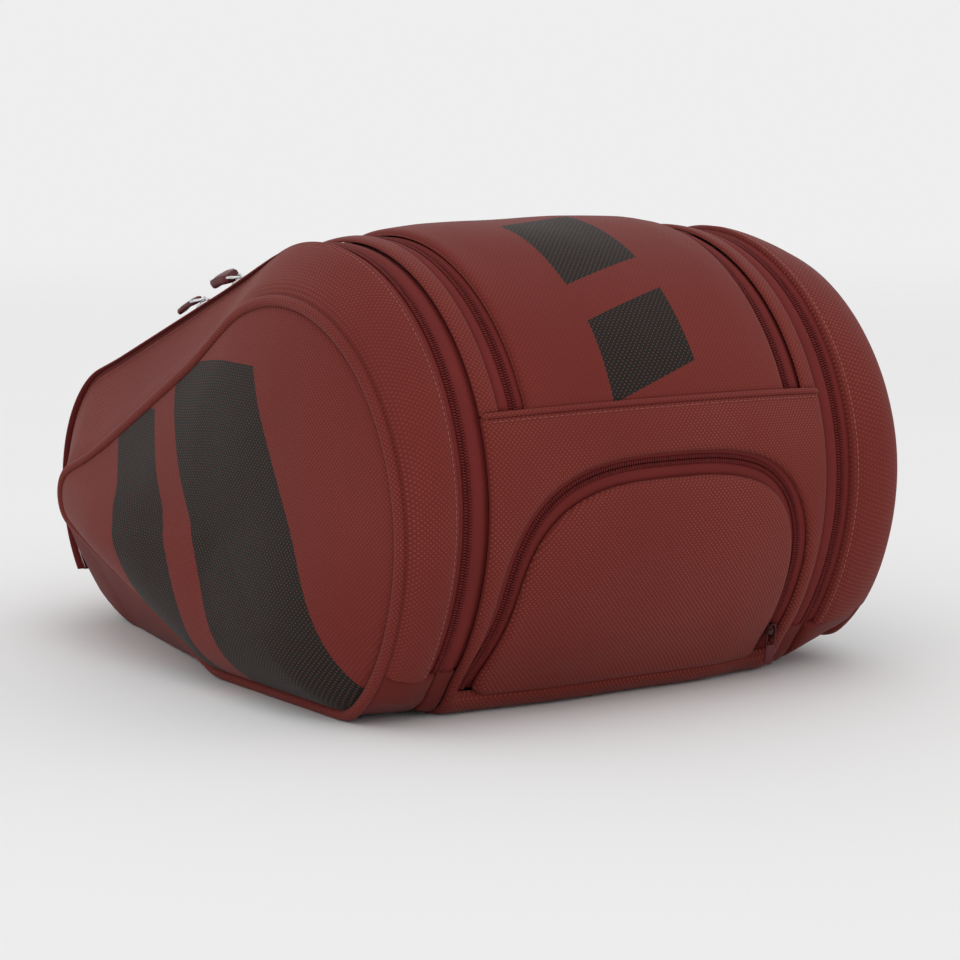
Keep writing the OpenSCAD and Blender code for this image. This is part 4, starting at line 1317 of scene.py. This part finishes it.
def racket_sliders(side_name, side):
    """Two sliders: the first pull is a thick tab that stands off the zip, the second lies flat along it."""
    for which, tilt, length, wide, thick in (("a", 0.15, 0.0265, 0.0135, 0.0076),
                                             ("b", 0.02, 0.0285, 0.0105, 0.0042)):
        name, pull, puller, tab = (f"{side_name}_{kind}_{which}"
                                   for kind in ("slider", "pull", "puller", "tab"))
        spot = top_spot(name, side * RACKET_X)
        slider(name, spot, M["metal"])
        pivot = PIVOT[f"{pull}_pivot"]
        ring = tilted(spot, pivot + spot.up * 0.0020, tilt + 0.08)
        link = ring_link(f"{puller}_link", ring, 0.0140, 0.0102, 0.0027, M["metal"], -0.0030)
        place(link, pull, puller)
        held = tilted(spot, pivot + spot.up * 0.0018, tilt, 0.45 * side)
        start = 0.0062
        strap = strap_tab(f"{tab}_leather", held, start, length, wide, thick, 0.0010, M["tab"], -0.0012)
        bar = np.stack([np.linspace(-0.5, 0.5, 9) * (wide - 0.004), np.full(9, start + length - 0.0035),
                        np.full(9, 0.0010 + thick / 2)], -1)
        rivet = wire(f"{tab}_rivet", held, bar, 0.0022, 0.0014, M["metal"])
        place(join(f"{tab}_whole", strap, rivet), pull, tab)


def main_sliders():
    """The main zip's two sliders, which meet in the middle of its far end."""
    for side_name, side in SIDES.items():
        name, pull = f"main_slider_{side_name}", f"main_pull_{side_name}"
        low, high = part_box(name)
        mid_x = (low.x + high.x) / 2
        spot = top_spot(name, mid_x)
        t = SEAM.share(W_FLAP_END)
        spot = Spot(middle(mid_x, np.array(t), SLIDER_OUT), (side, 0, 0), spot.up)
        slider(name, spot, M["painted_metal"])
        link = ring_link(f"{pull}_link", spot, 0.0150, 0.0080, 0.0017, M["painted_metal"], 0.0006, 0.0030)
        lifted = Spot(spot.origin + spot.up * 0.0022, spot.along, spot.up)
        tab = strap_tab(f"{pull}_strap", lifted, 0.0120, 0.0270, 0.0090, 0.0026, 0.0016, M["tab"], -0.0028)
        place(join(f"{pull}_whole", link, tab), pull, pull)


def shoe_zip_slider():
    """The small slider on the lower right leg of the shoe zip, with its pull hanging."""
    low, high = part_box("shoe_slider")
    z = (low.z + high.z) / 2
    t = SEAM.near_share(z)
    _, normal = SEAM.at(t)
    down = np.array([0.0, -normal[1], normal[0]])
    spot = Spot(middle(ARCH_W, t, SLIDER_OUT), down, (0.0, *normal))
    slider("shoe_slider", spot, M["painted_metal"])
    hung = tilted(spot, spot.origin + spot.up * 0.0030, 0.34)
    link = ring_link("shoe_pull_link", hung, 0.0120, 0.0076, 0.0016, M["painted_metal"], -0.0010)
    lifted = Spot(hung.origin - hung.up * 0.0010, hung.along, hung.up)
    tab = strap_tab("shoe_pull_strap", lifted, 0.0085, 0.0105, 0.0086, 0.0024, 0.0006, M["tab"])
    place(join("shoe_pull_whole", link, tab), "shoe_pull", "shoe_pull")


for side_name, side in SIDES.items():
    racket_sliders(side_name, side)
main_sliders()
shoe_zip_slider()


# ---------------------------------------------------------------- underside, straps, handle and insides


def rounded_rect(half_x, y0, y1, r, count=12, runs=10):
    """A closed outline in plan, anticlockwise, with its straight sides divided."""
    x, low, high = half_x - r, y0 + r, y1 - r
    arcs = [np.array(hub) + r * unit(np.radians(start + np.linspace(0, 90, count)))
            for hub, start in (((x, low), -90), ((x, high), 0), ((-x, high), 90), ((-x, low), 180))]
    points = []
    for arc, following in zip(arcs, arcs[1:] + arcs[:1]):
        points += [arc, arc[-1] + (following[0] - arc[-1]) * np.linspace(0, 1, runs + 1)[1:-1, None]]
    return np.concatenate(points)


def underside():
    """The padded mesh back with its channels, the hem that the bag stands on, and the board inside."""
    low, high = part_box("back_panel")
    x, y = np.meshgrid(eased(low.x, high.x, 70, 0.005), eased(low.y, high.y, 92, 0.005))
    rim = from_rim(x, y)
    body = puff(rim, 0.005)
    spine = bell(x, 0, 0.016)
    ribs = sum(bell(y - 0.25 * abs(x), -0.15 + 0.075 * k, 0.0045) for k in range(5))
    cut = np.clip(np.maximum(spine, ribs * np.clip((0.125 - abs(x)) / 0.01, 0, 1)), 0, 1)
    frame_line = bell(rim, 0.026, 0.004)
    depth = 0.0085 * body - 0.0052 * np.clip(np.maximum(cut, frame_line), 0, 1) * np.clip(rim / 0.01, 0, 1)
    bottom = high.z - 0.0020 - depth + ripple(np.stack([x, y, 0 * x], -1), 0.06, 0.0008, 14.0) * body
    top = np.full_like(x, high.z) - 0.0008 + 0.0008 * body
    bottom, top = np.stack([x, y, bottom], -1), np.stack([x, y, top], -1)
    pad = shell("back_panel_mesh", bottom, top, M["mesh"], pair(x, y))
    place(pad, "main_body", "back_panel")
    low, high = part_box("base_hem")
    wide = 0.0092
    line = rounded_rect(high.x - wide / 2, low.y + wide / 2, high.y - wide / 2, 0.011)
    section = round_section(wide, high.z, 16, 3.4)
    # the hem roll takes the darker foot cloth, painted shade under the bag
    roll = sweep("base_hem_roll", at_height(line, high.z / 2), UP, section, M["foot"], closed=True)
    place(roll, "main_body", "base_hem")
    NODE["back_stiffener"].data.materials.clear()
    NODE["back_stiffener"].data.materials.append(M["board"])


def end_tabs():
    """Small folded tabs that close each racket zip above the hem, near and far."""
    parts, hem_z = [], 0.0112
    for side in (-1, 1):
        for w0, w1 in ((near_w(hem_z), W_ZIP_NEAR - 0.0003), (W_ZIP_FAR + 0.0003, far_w(hem_z))):
            x0, x1 = sorted((side * 0.1453, side * (RACKET_X - 0.0002)))
            # the tabs take the darker foot cloth, painted shade down by the hem
            parts.append(panel(f"end_tab{len(parts)}", *rect(x0, x1, w0, w1, 6, 8, 0.002), 0.0002, 0.0030,
                               M["foot"], 0.0025, seed=len(parts)))
    place(join("zip_end_tabs_cloth", *parts), "main_body", "zip_end_tabs")


def handle():
    """A short grab handle of doubled webbing on the nose end, with its sewn feet."""
    tilt = math.radians(-42)
    out_dir, wide_dir = np.array([0.0, *unit(tilt)]), np.array([0.0, -math.sin(tilt), math.cos(tilt)])
    base, _ = SEAM.at(np.array(SEAM.share(SEAM.w_marks[2] + SEAM.nose_r * (SEAM.top_a - tilt))), 0.0034)
    spot = Spot((0, *base), (1, 0, 0), out_dir)
    q = np.linspace(-1, 1, 61)
    reach = 0.0285 * np.clip(1 - abs(q * 1.28) ** 3.4, 0, 1) ** 0.55
    path = spot(np.stack([0 * q, 0.0790 * q, 0.0016 + reach], -1))
    along = np.gradient(path, axis=0)
    along /= np.linalg.norm(along, axis=1)[:, None]
    ups = np.cross(along, wide_dir)
    ups *= np.sign((ups @ out_dir) + 1e-9)[:, None]
    parts = [sweep("grab_handle_band", path, ups, round_section(0.024, 0.0032, 14, 3.2), M["webbing"])]
    x, y = 0.009, 0.006
    box = np.array([(-x, -y), (x, -y), (x, y), (-x, y), (-x, -y), (x, y), (x, -y), (-x, y)])
    line = np.concatenate([a + (b - a) * np.linspace(0, 1, 10)[:-1, None] for a, b in zip(box[:-1], box[1:])])
    for s in (-1, 1):
        points = spot(at_height(line + (0, s * 0.0705), 0.0034))
        parts.append(stitches(f"handle_box{s + 1}", points, np.broadcast_to(out_dir, points.shape),
                              M["dark_thread"], 0.0026, 0.0006))
    place(join("grab_handle_webbing", *parts), "main_body", "grab_handle")


STRAP_X = 0.100                                       # centre line of the straps' webbing and rings


def strap_pad(side_name, side):
    """A curved pad of mesh with three quilting rows and a bound edge."""
    low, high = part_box(f"{side_name}_strap_pad")
    long, mid_z = high.y - low.y, (low.z + high.z) / 2
    y = np.linspace(high.y, low.y, 90)
    run = (high.y - y) / long
    bend = 0.034 * (1 - np.cos(np.clip((run - 0.03) / 0.94, 0, 1) * math.pi)) / 2
    ends = np.minimum(run, 1 - run) * long
    half = 0.0308 * (0.72 + 0.28 * puff(ends, 0.010))[:, None]
    across, grid_y = np.meshgrid(eased(-1, 1, 16, 0.12), y)
    x = side * (0.066 + bend)[:, None] + across * half
    body = puff(np.minimum((1 - abs(across)) * half, ends[:, None]), 0.0042)
    quilt = sum(bell(run[:, None] * 0.235, mark, 0.0030) for mark in (0.055, 0.105, 0.155, 0.205))
    thick = 0.0009 + 0.0034 * body * (1 - 0.35 * quilt)
    up, down = np.stack([x, grid_y, mid_z + thick], -1), np.stack([x, grid_y, mid_z - thick], -1)
    pad = shell(f"{side_name}_strap_padding", up, down, M["mesh"], pair(x, grid_y))
    place(pad, f"{side_name}_strap", f"{side_name}_strap_pad")
    flat = pair(x, grid_y)
    loop = np.concatenate([flat[:, 0], flat[-1, 1:-1], flat[::-1, -1], flat[0, -2:0:-1]])
    section = round_section(0.0026, 0.0052, 12, 2.4)
    bind = sweep(f"{side_name}_strap_binding", at_height(loop, mid_z), UP, section, M["piping"], closed=True)
    place(bind, f"{side_name}_strap")


def strap_webbing(side_name, side):
    """The flat webbing from the ladder lock to the clip."""
    low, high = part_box(f"{side_name}_strap_webbing")
    run = np.linspace(low.y - 0.0025, high.y + 0.0025, 30)
    path = np.stack([np.full(30, side * STRAP_X), run, np.full(30, (low.z + high.z) / 2)], -1)
    band = sweep(f"{side_name}_strap_band", path, UP, round_section(0.0248, 0.0018, 12, 3.4), M["webbing"])
    place(band, f"{side_name}_strap", f"{side_name}_strap_webbing")


def strap_hardware(side_name, side):
    """A ladder lock under the pad's end, and a clip that hooks onto the ring."""
    low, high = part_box(f"{side_name}_strap_hardware")
    spot = Spot((side * STRAP_X, 0, (low.z + high.z) / 2), (0, 1, 0), UP)
    parts = []

    def part(kind, points, wide, thick, closed=False):
        parts.append(wire(f"{side_name}_{kind}", spot, points, wide, thick, M["plastic"], closed))

    part("lock_frame", smooth_loop(0.0150, high.y - 0.0200, high.y - 0.0020, 0.004), 0.0036, 0.0052, True)
    for y_bar, wide in ((high.y - 0.0080, 0.0020), (high.y - 0.0135, 0.0030)):
        bar = np.stack([np.linspace(-0.0145, 0.0145, 8), np.full(8, y_bar), np.full(8, 0.0012)], -1)
        part(f"lock_bar{wide:.4f}", bar, wide, 0.0030)
    part("clip_frame", smooth_loop(0.0140, low.y + 0.0090, low.y + 0.0190, 0.0035), 0.0036, 0.0052, True)
    hook = np.array([(0, 0.0090, 0.0), (0, 0.0060, 0.0006), (0, 0.0030, 0.0010), (0, 0.0012, 0.0002),
                     (0, 0.0018, -0.0014), (0, 0.0040, -0.0018)])
    part("clip_hook", hook + (0, low.y, 0), 0.0110, 0.0028)
    place(join(f"{side_name}_strap_buckles", *parts), f"{side_name}_strap", f"{side_name}_strap_hardware")


def smooth_loop(half_x, y0, y1, r):
    """A flat rounded frame's centre line, in a spot's own directions."""
    return at_height(rounded_rect(half_x, y0, y1, r, 8, 6), 0.0)


def strap_rings():
    """The two D-shaped rings on the back, which the straps' clips hook onto."""
    parts = []
    low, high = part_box("strap_d_rings")
    for side in (-1, 1):
        spot = Spot((side * STRAP_X, 0, (low.z + high.z) / 2), (0, 1, 0), UP)
        a = np.linspace(0, math.pi, 22)
        foot, half = low.y + 0.0045, 0.0153
        bow = np.stack([half * np.cos(a), foot + (high.y - low.y - 0.0062) * np.sin(a) ** 0.7], -1)
        base = np.stack([np.linspace(-half, half, 12)[1:-1], np.full(10, foot)], -1)
        loop = at_height(np.concatenate([bow, base]), 0.0)
        parts.append(wire(f"d_ring{side + 1}", spot, loop, 0.0028, 0.0028, M["metal"], closed=True))
    place(join("strap_rings_wire", *parts), "main_body", "strap_d_rings")


def garage():
    """A soft box behind the shoe flap, open towards it."""
    low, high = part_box("shoe_garage")
    a = np.linspace(0, 2 * math.pi, 120, endpoint=False)
    half_x, half_z, mid_z = high.x - 0.001, (high.z - low.z) / 2 - 0.001, (high.z + low.z) / 2
    x, z = rounded_loop(120, half_x, half_z, 0.22, 0.22).T + [[0], [mid_z]]
    mouth = SEAM.at(SEAM.near_share(z), -0.0062)[0][..., 0]
    depth = eased(0, 1, 16, 0.01)
    y = mouth[None] + (high.y - 0.001 - mouth[None]) * depth[:, None]
    sag = 1 - 0.035 * np.sin(math.pi * depth)[:, None]
    walls = np.stack([x[None] * sag, y, mid_z + (z[None] - mid_z) * sag], -1)
    shrink = np.linspace(0.94, 0.04, 10)[:, None]
    bow = 0.006 * (1 - shrink ** 2)
    end = np.stack(np.broadcast_arrays(x * shrink, high.y - 0.001 - bow, mid_z + (z - mid_z) * shrink), -1)
    inside = np.concatenate([walls, end])
    inside[1:-1] += (0.0012 * ripple(inside, 0.05, 1.0, 17.0)[..., None] * np.array([0, 0.6, 1]))[1:-1]
    centre = np.array([0, high.y - 0.02, mid_z])
    away = inside - centre
    away[..., 1] = np.where(inside[..., 1] > high.y - 0.012, 0.02, 0)
    away /= np.linalg.norm(away, axis=-1)[..., None]
    rows = np.concatenate([depth, 1 + 0.1 * np.arange(10)])
    box = shell("shoe_garage_cloth", inside, inside + 0.0010 * away, M["lining"],
                pair(0.16 * rows[:, None], 0.09 * a[None]), ring=True, centre=True)
    place(box, "main_body", "shoe_garage")


def mesh_pocket():
    """A stretched net pocket on the underside of the main flap, with a bound edge."""
    low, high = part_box("flap_mesh_pocket")
    slope = (SEAM.top_end - SEAM.top_start) / np.linalg.norm(SEAM.top_end - SEAM.top_start)
    w0, w1 = (W_TOP + (y - SEAM.top_start[0]) / slope[0] for y in (low.y, high.y))
    xs, ws = np.meshgrid(np.linspace(low.x, high.x, 40), np.linspace(w0, w1, 44))
    rim = from_rim(xs, ws)
    hang = 0.0016 * np.clip(rim / 0.03, 0, 1)
    net = laid("mesh_pocket_net", xs, ws, -0.0024 - hang, -0.0032 - hang, M["net"])
    place(net, "main_flap", "flap_mesh_pocket")
    edge = rounded_rect(high.x, w0, w1, 0.004, 6, 20)
    section = round_section(0.0090, 0.0018, 12, 3)
    bind = sweep("mesh_pocket_binding", *raised(*edge.T, -0.0028), section, M["webbing"], closed=True)
    place(bind, "main_flap")


def dividers():
    """The walls between the main section and the racket covers."""
    for side_name, side in SIDES.items():
        low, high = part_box(f"{side_name}_divider")
        t = np.linspace(SEAM.near_share(low.z + 0.002), SEAM.nose_share(low.z + 0.002), 120)
        rim, _ = SEAM.at(t, -0.0046)
        floor_run = rim[-1] + (rim[0] - rim[-1]) * np.linspace(0, 1, 50)[1:-1, None]
        loop = np.concatenate([rim, floor_run])
        hub = loop.mean(0)
        share = inwards(0.02, 5, 0.95, 16)[:, None, None]
        spot = loop[None] * (1 - share) + hub * share
        far = puff(np.linalg.norm(spot - loop[None], axis=-1), 0.0018)
        mid = (low.x + high.x) / 2
        sway = ripple(xyz(mid, spot), 0.11, 0.0012, 6.0 + side) * np.clip(share[..., 0] / 0.3, 0, 1)
        outer, inner = xyz(mid + 0.0015 * far + sway, spot), xyz(mid - 0.0015 * far + sway, spot)
        wall = shell(f"{side_name}_divider_cloth", outer, inner, M["lining"], spot, ring=True, centre=True)
        place(wall, "main_body", f"{side_name}_divider")


underside()
end_tabs()
handle()
for side_name, side in SIDES.items():
    strap_pad(side_name, side)
    strap_webbing(side_name, side)
    strap_hardware(side_name, side)
strap_rings()
garage()
mesh_pocket()
dividers()
